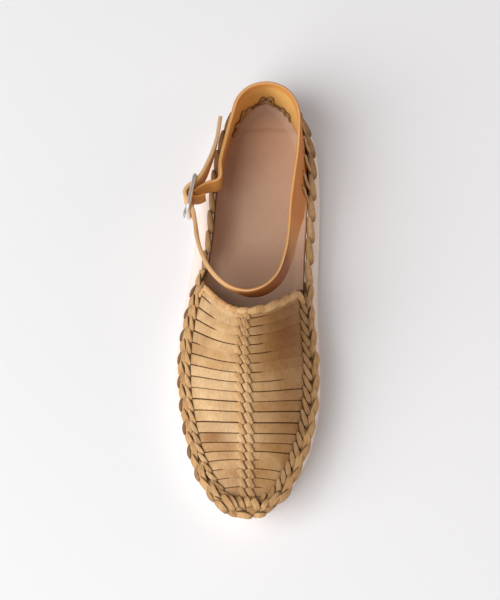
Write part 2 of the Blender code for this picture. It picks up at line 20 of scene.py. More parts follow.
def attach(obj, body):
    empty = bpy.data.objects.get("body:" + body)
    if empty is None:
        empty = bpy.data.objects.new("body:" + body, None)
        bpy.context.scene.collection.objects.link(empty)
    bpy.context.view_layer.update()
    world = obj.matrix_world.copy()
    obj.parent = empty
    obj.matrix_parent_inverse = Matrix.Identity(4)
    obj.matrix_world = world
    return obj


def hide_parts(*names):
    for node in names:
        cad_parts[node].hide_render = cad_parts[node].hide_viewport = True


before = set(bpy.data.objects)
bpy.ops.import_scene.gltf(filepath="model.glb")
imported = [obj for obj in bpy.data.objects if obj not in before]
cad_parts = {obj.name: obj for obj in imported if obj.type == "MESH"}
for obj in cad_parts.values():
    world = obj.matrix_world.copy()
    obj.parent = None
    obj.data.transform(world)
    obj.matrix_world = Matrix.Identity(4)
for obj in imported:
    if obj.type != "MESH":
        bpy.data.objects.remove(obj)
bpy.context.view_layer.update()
LOG = logging.getLogger("opanak")

MM = 0.001
CENTRE = np.array((-0.65, -0.4, 0.0))
UP = np.array((0.0, 0.0, 1.0))
MATH = "ShaderNodeMath"
NOISE_INPUTS = ("Vector", "Scale", "Detail", "Roughness")

# Plan of the rim's outer edge from heel to toe: y, lateral x, medial x, how far the wall's foot
# stands out on each side, and the rim's height
OUTLINE_COLUMNS = ("y", "lateral_x", "medial_x", "lateral_flare", "medial_flare", "rim_z")
OUTLINE_ROWS = (
    (118.0, -9.4, 19.0, 0.8, 0.6, 15.5),
    (106.0, -17.2, 27.0, 1.6, 0.9, 15.0),
    (88.0, -22.8, 32.8, 2.8, 0.9, 14.5),
    (62.5, -25.8, 34.2, 3.8, 1.5, 14.0),
    (37.5, -26.8, 33.8, 4.4, 2.1, 14.0),
    (12.5, -29.6, 33.3, 3.6, 2.2, 14.5),
    (-12.5, -34.6, 34.2, 2.6, 1.8, 15.5),
    (-37.5, -37.2, 36.6, 2.0, 0.9, 16.0),
    (-62.5, -35.8, 37.1, 1.4, 0.3, 16.0),
    (-87.5, -30.8, 33.6, -0.2, -0.9, 16.2),
    (-105.5, -24.0, 27.0, -2.0, -2.2, 16.8),
    (-118.0, -15.0, 19.6, -3.6, -3.6, 17.4),
)
# The heel's and the toe's end: x, y, flare, rim height
HEEL_END = (5.0, 125.8, 0.6, 15.5)
TOE_END = (2.0, -126.6, -4.4, 17.6)
# Underside along the foot: y and lift from the floor
BOTTOM_ROWS = (
    (140.0, 0.0),
    (60.0, 0.0),
    (42.0, 0.6),
    (18.0, 2.2),
    (-4.0, 0.6),
    (-22.0, 0.0),
    (-70.0, 0.0),
    (-92.0, 0.9),
    (-112.0, 2.6),
    (-128.0, 4.6),
)
# Cross lines of the vamp: strip number, rim's y on each side, and the spine's point
VAMP_COLUMNS = ("strip", "lateral_y", "medial_y", "spine_x", "spine_y", "spine_z")
VAMP_ROWS = (
    (0.0, 5.5, 2.5, -1.2, -24.0, 49.5),
    (4.0, -22.7, -23.7, -1.7, -42.4, 46.2),
    (7.0, -42.4, -42.4, -0.7, -56.2, 42.6),
    (11.0, -68.2, -68.2, 0.0, -75.2, 36.2),
    (13.0, -80.8, -80.8, 0.3, -85.4, 32.4),
    (17.0, -102.0, -102.0, 0.8, -101.8, 25.2),
    (21.0, -120.8, -120.8, 1.7, -119.4, 18.4),
)
# Ankle band: top edge of its middle layer, free width, inward lean in degrees and thickness.
# LACED rows stand in the sole's wall, and take their width and lean from it.
LACED = None
BAND_COLUMNS = ("x", "y", "top_z", "width", "lean", "thickness")
BAND_ROWS = (
    (-25.2, 48.9, 35.6, 8.6, 0.0, 1.2),
    (-29.2, 47.0, 36.6, 9.6, 0.0, 1.2),
    (-31.40, 46.93, 37.2, 10.0, 0.0, 1.2),
    (-33.10, 46.93, 37.2, 10.0, 0.0, 1.2),
    (-33.95, 48.40, 37.2, 10.0, 0.0, 1.2),
    (-33.10, 49.87, 37.2, 10.0, 0.0, 1.2),
    (-31.40, 49.87, 37.2, 10.0, 0.0, 1.2),
    (-28.6, 52.4, 37.0, 10.6, 0.0, 1.4),
    (-23.6, 55.6, 36.4, 11.6, 0.0, 1.8),
    (-18.9, 57.2, 36.0, 12.0, 0.0, 2.1),
    (-17.2, 60.8, 35.8, 12.8, 4.0, 2.1),
    (-17.7, 67.5, 35.6, LACED, LACED, 2.1),
    (-15.6, 80.0, 36.0, LACED, LACED, 2.1),
    (-12.4, 95.0, 36.8, LACED, LACED, 2.1),
    (-9.0, 106.6, 37.8, LACED, LACED, 2.1),
    (-3.0, 112.8, 38.1, LACED, LACED, 2.1),
    (6.4, 115.3, 38.2, LACED, LACED, 2.1),
    (15.8, 112.2, 38.1, LACED, LACED, 2.1),
    (21.4, 105.6, 37.8, LACED, LACED, 2.1),
    (24.2, 94.0, 37.2, LACED, LACED, 2.1),
    (24.0, 78.0, 37.2, LACED, LACED, 2.1),
    (22.4, 60.0, 38.6, LACED, LACED, 2.1),
    (20.9, 43.5, 41.0, 17.0, 22.0, 2.1),
    (20.4, 27.0, 44.4, 13.0, 18.0, 2.1),
    (19.0, 10.0, 48.6, 12.0, 12.0, 2.1),
    (14.9, -5.0, 52.3, 12.0, 3.0, 2.1),
    (8.0, -12.8, 54.0, 12.0, -4.0, 2.1),
    (-0.8, -15.6, 54.4, 12.0, -13.0, 2.1),
    (-8.9, -13.4, 54.0, 12.0, -18.0, 2.1),
    (-16.0, -7.1, 51.9, 12.0, -14.0, 2.1),
    (-22.6, 3.1, 48.8, 12.0, -9.0, 2.1),
    (-28.0, 19.0, 44.0, 12.0, -4.0, 2.1),
    (-31.0, 37.6, 38.8, 11.6, 0.0, 2.1),
    (-35.9, 48.9, 38.8, 11.6, 0.0, 2.1),
    (-28.0, 58.4, 38.8, 11.6, 0.0, 2.1),
    (-23.2, 70.5, 37.4, 11.6, 4.0, 2.1),
    (-19.9, 83.0, 36.2, 11.4, 8.0, 2.1),
    (-18.6, 96.5, 34.6, 7.5, 8.0, 2.1),
)
# Slits between the strips: the strip after each, where a lateral slit opens from the spine at 0 to
# the rim at 1, its width, where a medial slit closes again, and its width
SLIT_ROWS = (
    (1, 0.72, 0.45, 0.40, 0.45),
    (2, 0.60, 0.45, 0.38, 0.40),
    (3, 0.52, 0.45, 0.36, 0.40),
    (4, 0.00, 0.55, 0.36, 0.45),
    (5, 0.80, 0.40, 0.48, 0.40),
    (6, 0.00, 0.45, 0.30, 0.40),
    (7, 0.00, 0.35, 0.32, 0.40),
    (8, 0.00, 0.40, 0.65, 0.30),
    (9, 0.00, 0.16, 1.00, 0.35),
    (10, 0.00, 0.55, 1.00, 0.20),
    (11, 0.00, 0.40, 1.00, 0.50),
    (12, 0.00, 0.40, 1.00, 0.42),
    (13, 0.00, 0.45, 1.00, 0.42),
    (14, 0.00, 0.26, 1.00, 0.18),
    (15, 0.00, 0.35, 1.00, 0.50),
    (16, 0.00, 0.32, 0.34, 0.35),
    (17, 0.60, 0.16, 1.00, 0.24),
    (18, 0.50, 0.14, 1.00, 0.18),
    (19, 0.00, 0.20, 0.60, 0.22),
)
# Dark patches on the strips: strip, place across, their reach in each, and depth. Most are
# stains; the two wide medial rows are painted shade on the medial slope, which faces away from
# the light
STAIN_AND_SHADE_ROWS = (
    (13.6, -0.62, 1.3, 0.34, 0.85),
    (14.8, -0.42, 1.0, 0.26, 0.55),
    (14.3, 0.45, 0.9, 0.40, 0.60),
    (5.2, -0.72, 1.0, 0.22, 0.30),
    (3.5, 0.66, 5.0, 0.55, 0.95),
    (12.0, 0.74, 6.0, 0.55, 0.62),
    (19.5, 0.00, 3.4, 1.20, 0.50),
)
# Leaves at the toe's tip: first, middle and last point, and swell
TUCK_ROWS = (
    ((-3.8, -124.6, 20.4), (0.4, -125.7, 22.0), (4.6, -126.2, 20.4), 1.15),
    ((4.9, -125.4, 20.2), (8.4, -125.4, 21.6), (11.6, -124.4, 20.2), 0.95),
    ((-11.0, -115.2, 22.4), (-7.8, -119.8, 23.6), (-4.2, -124.0, 21.8), 1.0),
    ((-7.4, -115.4, 22.0), (-4.9, -119.4, 23.2), (-2.4, -123.6, 21.6), 0.8),
    ((-14.2, -117.6, 21.2), (-11.8, -121.0, 22.4), (-8.0, -124.4, 20.6), 1.05),
    ((-3.2, -115.6, 20.8), (-1.5, -119.2, 22.0), (0.6, -123.4, 21.4), 1.0),
    ((1.0, -115.6, 20.8), (2.3, -119.0, 22.0), (3.8, -122.8, 21.4), 1.0),
    ((4.6, -116.6, 21.8), (6.2, -120.2, 23.2), (7.8, -123.6, 21.8), 1.1),
    ((13.0, -117.0, 21.8), (11.0, -120.2, 22.8), (9.0, -123.6, 21.2), 0.9),
)
# Lacing of the band: the y of each slit in its medial face
LACE_PLACES = (100.6, 90.2, 79.2, 67.7, 59.2)
# Thong knots inside the heel: x of the first end, the peak and the last end, the peak's height and
# the swell
KNOT_ROWS = (
    (-12.4, -12.2, -10.6, 16.0, 0.60),
    (-11.4, -10.6, -8.6, 18.0, 0.70),
    (-9.4, -7.0, -6.4, 18.5, 0.60),
    (-7.6, -4.2, -2.6, 15.0, 0.55),
    (-3.0, -0.6, 2.2, 13.2, 0.45),
    (1.0, 3.6, 4.4, 19.5, 0.50),
    (3.6, 8.2, 9.0, 21.0, 0.50),
    (2.2, 5.2, 10.2, 15.0, 0.70),
    (8.8, 11.4, 13.2, 13.0, 0.45),
    (12.0, 14.8, 15.8, 16.0, 0.60),
    (14.8, 17.4, 18.4, 16.8, 0.50),
)


class Side(Enum):
    """A side of the right shoe, by the sign of its x."""

    LATERAL = -1
    MEDIAL = 1


class Section(Enum):
    """The cross section of a thong."""

    FLAT = "flat strap with eased corners"
    ROUND = "soft oval"


def column(rows: Sequence[Sequence[Any]], names: Sequence[str], name: str) -> list[Any]:
    """One named column of a table."""
    return [row[names.index(name)] for row in rows]


def unit(vectors: np.ndarray) -> np.ndarray:
    """The vectors at length one."""
    return vectors / np.maximum(np.linalg.norm(vectors, axis=-1, keepdims=True), 1e-9)


def across_path(path: np.ndarray, directions: np.ndarray) -> np.ndarray:
    """Directions made square to a path.

    Args:
        path: Points along the path.
        directions: One rough direction for each point.

    Returns:
        Unit directions with no part along the path.
    """
    along = unit(np.gradient(path, axis=0))
    return unit(directions - along * np.sum(directions * along, axis=1, keepdims=True))


def ramp(value: Any, start: float, end: float) -> np.ndarray:
    """0 before start, 1 past end and an even rise between them."""
    return np.clip((value - start) / (end - start), 0.0, 1.0)


def smooth(share: np.ndarray) -> np.ndarray:
    """A share from 0 to 1, eased at both ends."""
    return share * share * (3 - 2 * share)


def lengths(path: np.ndarray) -> np.ndarray:
    """The length travelled to each point of a path."""
    return np.concatenate([[0.0], np.cumsum(np.linalg.norm(np.diff(path, axis=0), axis=1))])


def lens(count: int, ends: float, more: float, power: float = 1.0) -> np.ndarray:
    """The swell of a short thong at count points.

    Args:
        count: Number of points.
        ends: Swell at both ends.
        more: What the middle has more.
        power: Less than 1 for blunter ends.

    Returns:
        The swell at each point.
    """
    return ends + more * np.sin(np.pi * np.linspace(0.0, 1.0, count)) ** power


def sample(table: np.ndarray, knots: np.ndarray, at: Any) -> np.ndarray:
    """Points read in straight lines from a table of them.

    Args:
        table: One point for each knot.
        knots: The points' places.
        at: Places to read.

    Returns:
        A point for each place.
    """
    return np.stack([np.interp(at, knots, table[:, k]) for k in range(3)], axis=-1)


class TableCurve:
    """A smooth curve through a table's rows, read at any place of its first column."""

    def __init__(self, knots: Sequence[float], values: Sequence[float]) -> None:
        """Sorts the rows and works out the slope at each.

        Args:
            knots: Places of the rows.
            values: Value in each row.
        """
        order = np.argsort(knots)
        self.knots = np.array(knots, float)[order]
        self.values = np.array(values, float)[order]
        chords = np.diff(self.values) / np.diff(self.knots)
        self.slopes = np.concatenate([chords[:1], (chords[:-1] + chords[1:]) / 2, chords[-1:]])
        turning = np.concatenate([[False], chords[:-1] * chords[1:] <= 0, [False]])
        self.slopes[turning] = 0.0

    def __call__(self, place: Any) -> np.ndarray:
        """The curve's value at one place or an array of them."""
        x = np.clip(place, self.knots[0], self.knots[-1])
        i = np.clip(np.searchsorted(self.knots, x) - 1, 0, len(self.knots) - 2)
        step = self.knots[i + 1] - self.knots[i]
        s = (x - self.knots[i]) / step
        rise = (3 - 2 * s) * s * s * (self.values[i + 1] - self.values[i])
        start = s * (1 - s) ** 2 * step * self.slopes[i]
        end = -s * s * (1 - s) * step * self.slopes[i + 1]
        return self.values[i] + rise + start + end


def through(points: Sequence[Any], count: int) -> np.ndarray:
    """A smooth path of count points through a few given ones."""
    table = np.array(points)
    knots = np.linspace(0.0, 1.0, len(table))
    share = np.linspace(0.0, 1.0, count)
    return np.stack([TableCurve(knots, table[:, k])(share) for k in range(3)], axis=-1)


class ClosedCurve:
    """A periodic curve with even knots, smooth to its second derivative."""

    def __init__(self, values: Sequence[float]) -> None:
        """Solves for the bend at each knot.

        Args:
            values: Value at each knot, once round.
        """
        self.values = np.array(values, float)
        self.count = len(self.values)
        ring = np.eye(self.count)
        system = 4 * ring + np.roll(ring, 1, 0) + np.roll(ring, -1, 0)
        bends = np.roll(self.values, 1) - 2 * self.values + np.roll(self.values, -1)
        self.second = np.linalg.solve(system, 6 * bends)

    def __call__(self, place: Any) -> np.ndarray:
        """The curve's value at one place or an array of them."""
        whole = np.floor(place)
        i = whole.astype(int) % self.count
        j = (i + 1) % self.count
        s = place - whole
        line = self.values[i] * (1 - s) + self.values[j] * s
        sag = ((1 - s) ** 3 - (1 - s)) * self.second[i] + (s**3 - s) * self.second[j]
        return line + sag / 6


class Plan:
    """The sole's outline in plan: heel end, lateral side, toe end, medial side."""

    def __init__(self) -> None:
        """Reads the outline's table into closed curves."""
        columns = {name: column(OUTLINE_ROWS, OUTLINE_COLUMNS, name) for name in OUTLINE_COLUMNS}
        self.count = 2 * len(OUTLINE_ROWS) + 2
        self.toe = self.count / 2
        self.x = self._round(0, columns["lateral_x"], columns["medial_x"])
        self.y = self._round(1, columns["y"], columns["y"])
        self.flare = self._round(2, columns["lateral_flare"], columns["medial_flare"])
        self.rim = self._round(3, columns["rim_z"], columns["rim_z"])
        self.lift = TableCurve(*zip(*BOTTOM_ROWS))

    @staticmethod
    def _round(end: int, lateral: list[float], medial: list[float]) -> ClosedCurve:
        """A closed curve through both sides and the two ends' values."""
        return ClosedCurve([HEEL_END[end], *lateral, TOE_END[end], *medial[::-1]])

    def inwards(self, t: np.ndarray) -> np.ndarray:
        """Level directions into the shoe at stations t."""
        step = 0.02
        x = self.x(t + step) - self.x(t - step)
        y = self.y(t + step) - self.y(t - step)
        return unit(np.stack([-y, x, np.zeros_like(x)], axis=-1))

    def point(self, t: np.ndarray, inset: Any, z: Any) -> np.ndarray:
        """Points of the outline moved inwards.

        Args:
            t: Stations.
            inset: Distance inwards in plan.
            z: Height.

        Returns:
            An array of points.
        """
        base = np.stack([self.x(t), self.y(t), np.broadcast_to(z, t.shape)], axis=-1)
        return base + self.inwards(t) * np.broadcast_to(inset, t.shape)[..., None]

    def station(self, y: np.ndarray, side: Side, inset: float) -> np.ndarray:
        """The stations where the inset outline reaches y on one side."""
        low = np.zeros_like(y)
        high = np.full_like(y, self.toe)
        for _ in range(40):
            middle = (low + high) / 2
            t = middle if side is Side.LATERAL else self.count - middle
            behind = self.point(t, inset, 0.0)[..., 1] > y
            low = np.where(behind, middle, low)
            high = np.where(behind, high, middle)
        return low if side is Side.LATERAL else self.count - low

    def stations(self, steps: int) -> np.ndarray:
        """Stations of one turn, even in number and clear of the two ends."""
        return (np.arange(self.count * steps) + 0.5) / steps


class VampForm:
    """The vamp's smooth outer face, read by place along the foot in strips and place across."""

    strips = 21
    inset = 5.1
    arch_round = 0.7
    samples = 421
    widest_offset = 0.42
    widest_margin = 0.36
    last_across = 0.985
    across_step = 0.004
    strip_step = 0.1

    def __init__(self, plan: Plan) -> None:
        """Tabulates the spine and both rims finely along the foot.

        Args:
            plan: The sole's outline.
        """
        knots = column(VAMP_ROWS, VAMP_COLUMNS, "strip")
        line = {n: TableCurve(knots, column(VAMP_ROWS, VAMP_COLUMNS, n)) for n in VAMP_COLUMNS}
        self.places = np.linspace(0.0, self.strips, self.samples)
        spine = [line[name](self.places) for name in ("spine_x", "spine_y", "spine_z")]
        self.spine = np.stack(spine, axis=-1)
        self.rims = {}
        for side, name in ((Side.LATERAL, "lateral_y"), (Side.MEDIAL, "medial_y")):
            t = plan.station(line[name](self.places), side, self.inset)
            self.rims[side] = plan.point(t, self.inset, plan.rim(t))

    def _read(self, table: np.ndarray, strip: np.ndarray) -> np.ndarray:
        """A tabulated point at each place along the foot."""
        return sample(table, self.places, strip)

    def half_width(self, strip: np.ndarray, side: Side) -> np.ndarray:
        """Plan distance from the spine to one rim."""
        apart = self._read(self.spine, strip) - self._read(self.rims[side], strip)
        return np.linalg.norm(apart[..., :2], axis=-1)

    def point(self, strip: Any, across: Any) -> np.ndarray:
        """Points of the face.

        Args:
            strip: Place along the foot, counted in strips from the throat.
            across: -1 at the lateral rim, 0 at the spine, 1 at the medial rim.

        Returns:
            An array of points.
        """
        strip, across = np.broadcast_arrays(np.asarray(strip, float), np.asarray(across, float))
        spine = self._read(self.spine, strip)
        lateral = self._read(self.rims[Side.LATERAL], strip)
        medial = self._read(self.rims[Side.MEDIAL], strip)
        rim = np.where(across[..., None] < 0, lateral, medial)
        u = np.minimum(np.abs(across), 1.0)
        share = np.stack([u, u**2, 1 - (1 - u**2) ** self.arch_round], axis=-1)
        return spine + (rim - spine) * share

    def normal(self, strip: Any, across: Any) -> np.ndarray:
        """Outward unit normals of the face."""
        strip, across = np.broadcast_arrays(np.asarray(strip, float), np.asarray(across, float))
        u = np.clip(across, -self.last_across, self.last_across)
        sideways = self.point(strip, u + self.across_step) - self.point(strip, u - self.across_step)
        ahead = np.clip(strip + self.strip_step, 0.0, self.strips)
        behind = np.clip(strip - self.strip_step, 0.0, self.strips)
        return unit(np.cross(self.point(ahead, u) - self.point(behind, u), sideways))

    def above(self, strip: Any, across: Any, lift: float) -> tuple[np.ndarray, np.ndarray]:
        """Points at a height off the face, and the face's normals there."""
        normal = self.normal(strip, across)
        return self.point(strip, across) + normal * lift, normal

    def offset_line(self, strip: np.ndarray, side: Side, distance: float) -> np.ndarray:
        """Place across of a line at a plan distance from the spine, drawn in where it is narrow."""
        half = self.half_width(strip, side)
        return side.value * np.minimum(distance, self.widest_offset * half) / half

    def rim_line(self, strip: np.ndarray, side: Side, distance: float) -> np.ndarray:
        """Place across of a line at a plan distance from the rim, drawn in where it is narrow."""
        half = self.half_width(strip, side)
        return side.value * (1 - np.minimum(distance, self.widest_margin * half) / half)


def linear(code: str) -> tuple[float, float, float, float]:
    """An sRGB hex colour as linear red, green, blue and alpha."""
    parts = [int(code[i : i + 2], 16) / 255 for i in (1, 3, 5)]
    red, green, blue = (
        c / 12.92 if c <= 0.04045 else ((c + 0.055) / 1.055) ** 2.4 for c in parts
    )
    return (red, green, blue, 1.0)


def add(
    tree: bpy.types.NodeTree, kind: str, sockets: dict[Any, Any] | None = None, **settings: Any
) -> bpy.types.Node:
    """Adds a node with its settings and links.

    Args:
        tree: The tree that gets the node.
        kind: The node's type name.
        sockets: For each input by name or number, a node whose first output is linked, an output
            to link, or a plain value.
        settings: Properties of the node.

    Returns:
        The new node.
    """
    node = tree.nodes.new(kind)
    for name, value in settings.items():
        setattr(node, name, value)
    for socket, value in (sockets or {}).items():
        if isinstance(value, bpy.types.Node):
            value = value.outputs[0]
        if isinstance(value, bpy.types.NodeSocket):
            tree.links.new(value, node.inputs[socket])
        else:
            node.inputs[socket].default_value = value
    return node


def painted(name: str, values: dict[str, Any]) -> tuple[bpy.types.Material, bpy.types.Node]:
    """A new material and its shader, which gets plain values for some of its inputs."""
    material = bpy.data.materials.new(name)
    material.use_nodes = True
    shader = material.node_tree.nodes["Principled BSDF"]
    for socket, value in values.items():
        shader.inputs[socket].default_value = value
    return material, shader


@dataclass(frozen=True)
class Leather:
    """A leather's finish.

    The eye sees a base colour that clouds towards a darker one, another where it is worn and where
    light or shade is painted, fine creases that run across the thong, a stain colour that also
    carries painted shade and light, and a colour for raw cuts that also paints shade into hollows
    and along the dark edges of thongs.
    """

    name: str
    base: str
    dark: str
    wear_and_painted_light: str
    hollow: str
    roughness: float
    cloud_mm: float = 16.0
    clouding: float = 0.5
    grain_mm: tuple[float, float, float] = (0.5, 3.0, 1.2)
    graining: float = 0.25
    relief_mm: float = 0.12
    pore_mm: float = 0.5
    coat: float = 0.0
    stain_and_painted_light: str = "#87500f"
    edge_shading: float = 0.0
    gloss: float = 0.2
    coat_roughness: float = 0.35
    pore_share: float = 0.35

    def material(self) -> bpy.types.Material:
        """Builds the finish as a material.

        Returns:
            The material, which reads a piece's attributes for tone, stain, hollows and edges where
            it has them; some of these carry painted shade and painted light.
        """
        values = {
            "Roughness": self.roughness,
            "Specular IOR Level": self.gloss,
            "Coat Weight": self.coat,
            "Coat Roughness": self.coat_roughness,
        }
        material, shader = painted(self.name, values)
        tree = material.node_tree
        place = add(tree, "ShaderNodeTexCoord").outputs["Object"]
        stretch = [1 / (size * MM) for size in self.grain_mm]
        lanes = add(tree, "ShaderNodeMapping", {"Vector": place, "Scale": stretch})
        # Slow clouds of tone, creases drawn out across the thong, and fine pores
        noises = (
            (place, 1 / (self.cloud_mm * MM), 4.0, 0.6),
            (lanes, 1.0, 3.0, 0.65),
            (place, 1 / (self.pore_mm * MM), 2.0, 0.5),
        )
        clouds, grain, pores = (
            add(tree, "ShaderNodeTexNoise", dict(zip(NOISE_INPUTS, noise))) for noise in noises
        )
        shade, hollow, stain_and_painted_light, edge_shade = (
            add(tree, "ShaderNodeAttribute", attribute_name=name).outputs["Fac"]
            for name in ("shade", "hollow", "stain_and_painted_light", "edge_shade")
        )
        tone, creases = (
            add(tree, "ShaderNodeMapRange", {"Value": noise, "From Min": low, "From Max": 1 - low})
            for noise, low in ((clouds, 0.3), (grain, 0.35))
        )
        # Each tone lies over those before it: clouds, wear and painted light, stain and painted
        # shade, creases, raw cuts and painted shade in hollows, painted shade on thong edges
        tones = (
            ("MIX", self.clouding, tone, self.dark),
            ("MIX", 0.8, shade, self.wear_and_painted_light),
            ("MIX", 0.95, stain_and_painted_light, self.stain_and_painted_light),
            ("MULTIPLY", self.graining, creases, self.dark),
            ("MIX", 0.85, hollow, self.hollow),
            ("MIX", self.edge_shading, edge_shade, self.hollow),
        )
        colour = linear(self.base)
        for blend, most, share, over in tones:
            part = add(tree, MATH, {0: share, 1: most}, operation="MULTIPLY", use_clamp=True)
            blended = {0: part, 6: colour, 7: linear(over)}
            colour = add(
                tree, "ShaderNodeMix", blended, data_type="RGBA", blend_type=blend
            ).outputs[2]
        height = add(tree, MATH, {0: pores, 1: self.pore_share, 2: grain}, operation="MULTIPLY_ADD")
        relief = {"Strength": 1.0, "Distance": self.relief_mm * MM, "Height": height}
        bump = add(tree, "ShaderNodeBump", relief)
        tree.links.new(colour, shader.inputs["Base Color"])
        tree.links.new(bump.outputs[0], shader.inputs["Normal"])
        return material


@dataclass(frozen=True)
class Metal:
    """A polished metal: a bright mirror softened by fine wear."""

    name: str
    colour: str
    roughness: float
    wear_mm: float = 2.0
    spread: tuple[float, float] = (0.8, 1.25)

    def material(self) -> bpy.types.Material:
        """Builds the finish as a material."""
        values = {"Base Color": linear(self.colour), "Metallic": 1.0}
        material, shader = painted(self.name, values)
        tree = material.node_tree
        place = add(tree, "ShaderNodeTexCoord").outputs["Object"]
        noise = (place, 1 / (self.wear_mm * MM), 4.0)
        wear = add(tree, "ShaderNodeTexNoise", dict(zip(NOISE_INPUTS, noise)))
        smoothest, roughest = (self.roughness * share for share in self.spread)
        rough = add(tree, "ShaderNodeMapRange", {"Value": wear, 3: smoothest, 4: roughest})
        tree.links.new(rough.outputs[0], shader.inputs["Roughness"])
        return material


@dataclass
class Finishes:
    """The shoe's finishes, one material each."""

    # Vegetable-tanned sole bend, undyed: pale, pinkish, dense and matt
    sole: Leather = Leather(
        "undyed_sole_bend", "#f5e6dc", "#ead2c2", "#f8ece4", "#c09a82",
        roughness=0.62, cloud_mm=26.0, grain_mm=(1.2, 1.2, 1.2), graining=0.12, relief_mm=0.06,
    )
    # Vegetable-tanned lining hide: soft pinkish beige, suede-dull, with a darker colour for painted
    # shade
    insole: Leather = Leather(
        "undyed_lining_hide", "#cdac93", "#bb967d", "#d6b69c", "#8a6048",
        roughness=0.72, cloud_mm=34.0, grain_mm=(0.8, 0.8, 0.8), graining=0.10, relief_mm=0.05,
    )
    # Oiled calf cut into strips: khaki tan, fine creases across each strip, satin; painted shade
    # along each strip's edges, and stains that also carry painted shade
    strip: Leather = Leather(
        "oiled_calf_strip", "#deb887", "#ab7d45", "#e6c79c", "#553517",
        roughness=0.46, cloud_mm=11.0, clouding=0.7, grain_mm=(0.8, 2.6, 1.5), graining=0.26,
        edge_shading=0.7,
    )
    # The same calf twisted and plaited: creased on the bends, with painted shade in its hollows and
    # along its edges, and a stain colour that carries more painted shade
    thong: Leather = Leather(
        "oiled_calf_thong", "#e3b981", "#ae7942", "#edc998", "#432811",
        roughness=0.48, cloud_mm=6.0, clouding=0.6, grain_mm=(0.7, 4.0, 1.5), graining=0.36,
        relief_mm=0.25, stain_and_painted_light="#6b4220", edge_shading=0.85,
    )
    # Back of the woven layer: the flesh side of the calf, made dark as painted shade in the slits
    # between the strips and in the band's lace slits
    backing: Leather = Leather(
        "backing_in_painted_shade", "#7d5231", "#5d3a20", "#8f633e", "#4a2d18",
        roughness=0.8, cloud_mm=12.0, clouding=0.6,
    )
    # Bridle butt with a waxed face: amber, smooth, softly glossy; painted shade darkens its front,
    # its medial outer face is more orange with painted warm reflected light, and its pale raw edge
    # also paints the highlight along the edge
    band: Leather = Leather(
        "waxed_bridle_butt", "#eabd70", "#d0964c", "#8e5124", "#d8b793",
        roughness=0.50, cloud_mm=30.0, grain_mm=(2.0, 2.0, 2.0), graining=0.10, relief_mm=0.04,
        coat=0.04, stain_and_painted_light="#cd7d34", gloss=0.15,
    )
    # Nickel-plated steel wire, polished
    steel: Metal = Metal("nickel_plated_steel", "#e4e2de", 0.36)
    made: dict[str, bpy.types.Material] = field(default_factory=dict)

    def __getitem__(self, name: str) -> bpy.types.Material:
        """The material of a named finish, made on first use."""
        if name not in self.made:
            self.made[name] = getattr(self, name).material()
        return self.made[name]


@dataclass
class Thong:
    """One leather thong: its path, the way its face looks, its swell and its tone.

    Both of its edges get painted shade where lean is 0, and only one of them where it is 1 or -1.
    """

    path: np.ndarray
    face: np.ndarray
    swell: Any = 1.0
    shade: Any = 0.0
    hollow: Any = 0.0
    stain_and_painted_light: Any = 0.0
    lean: float = 0.0
    closed: bool = False


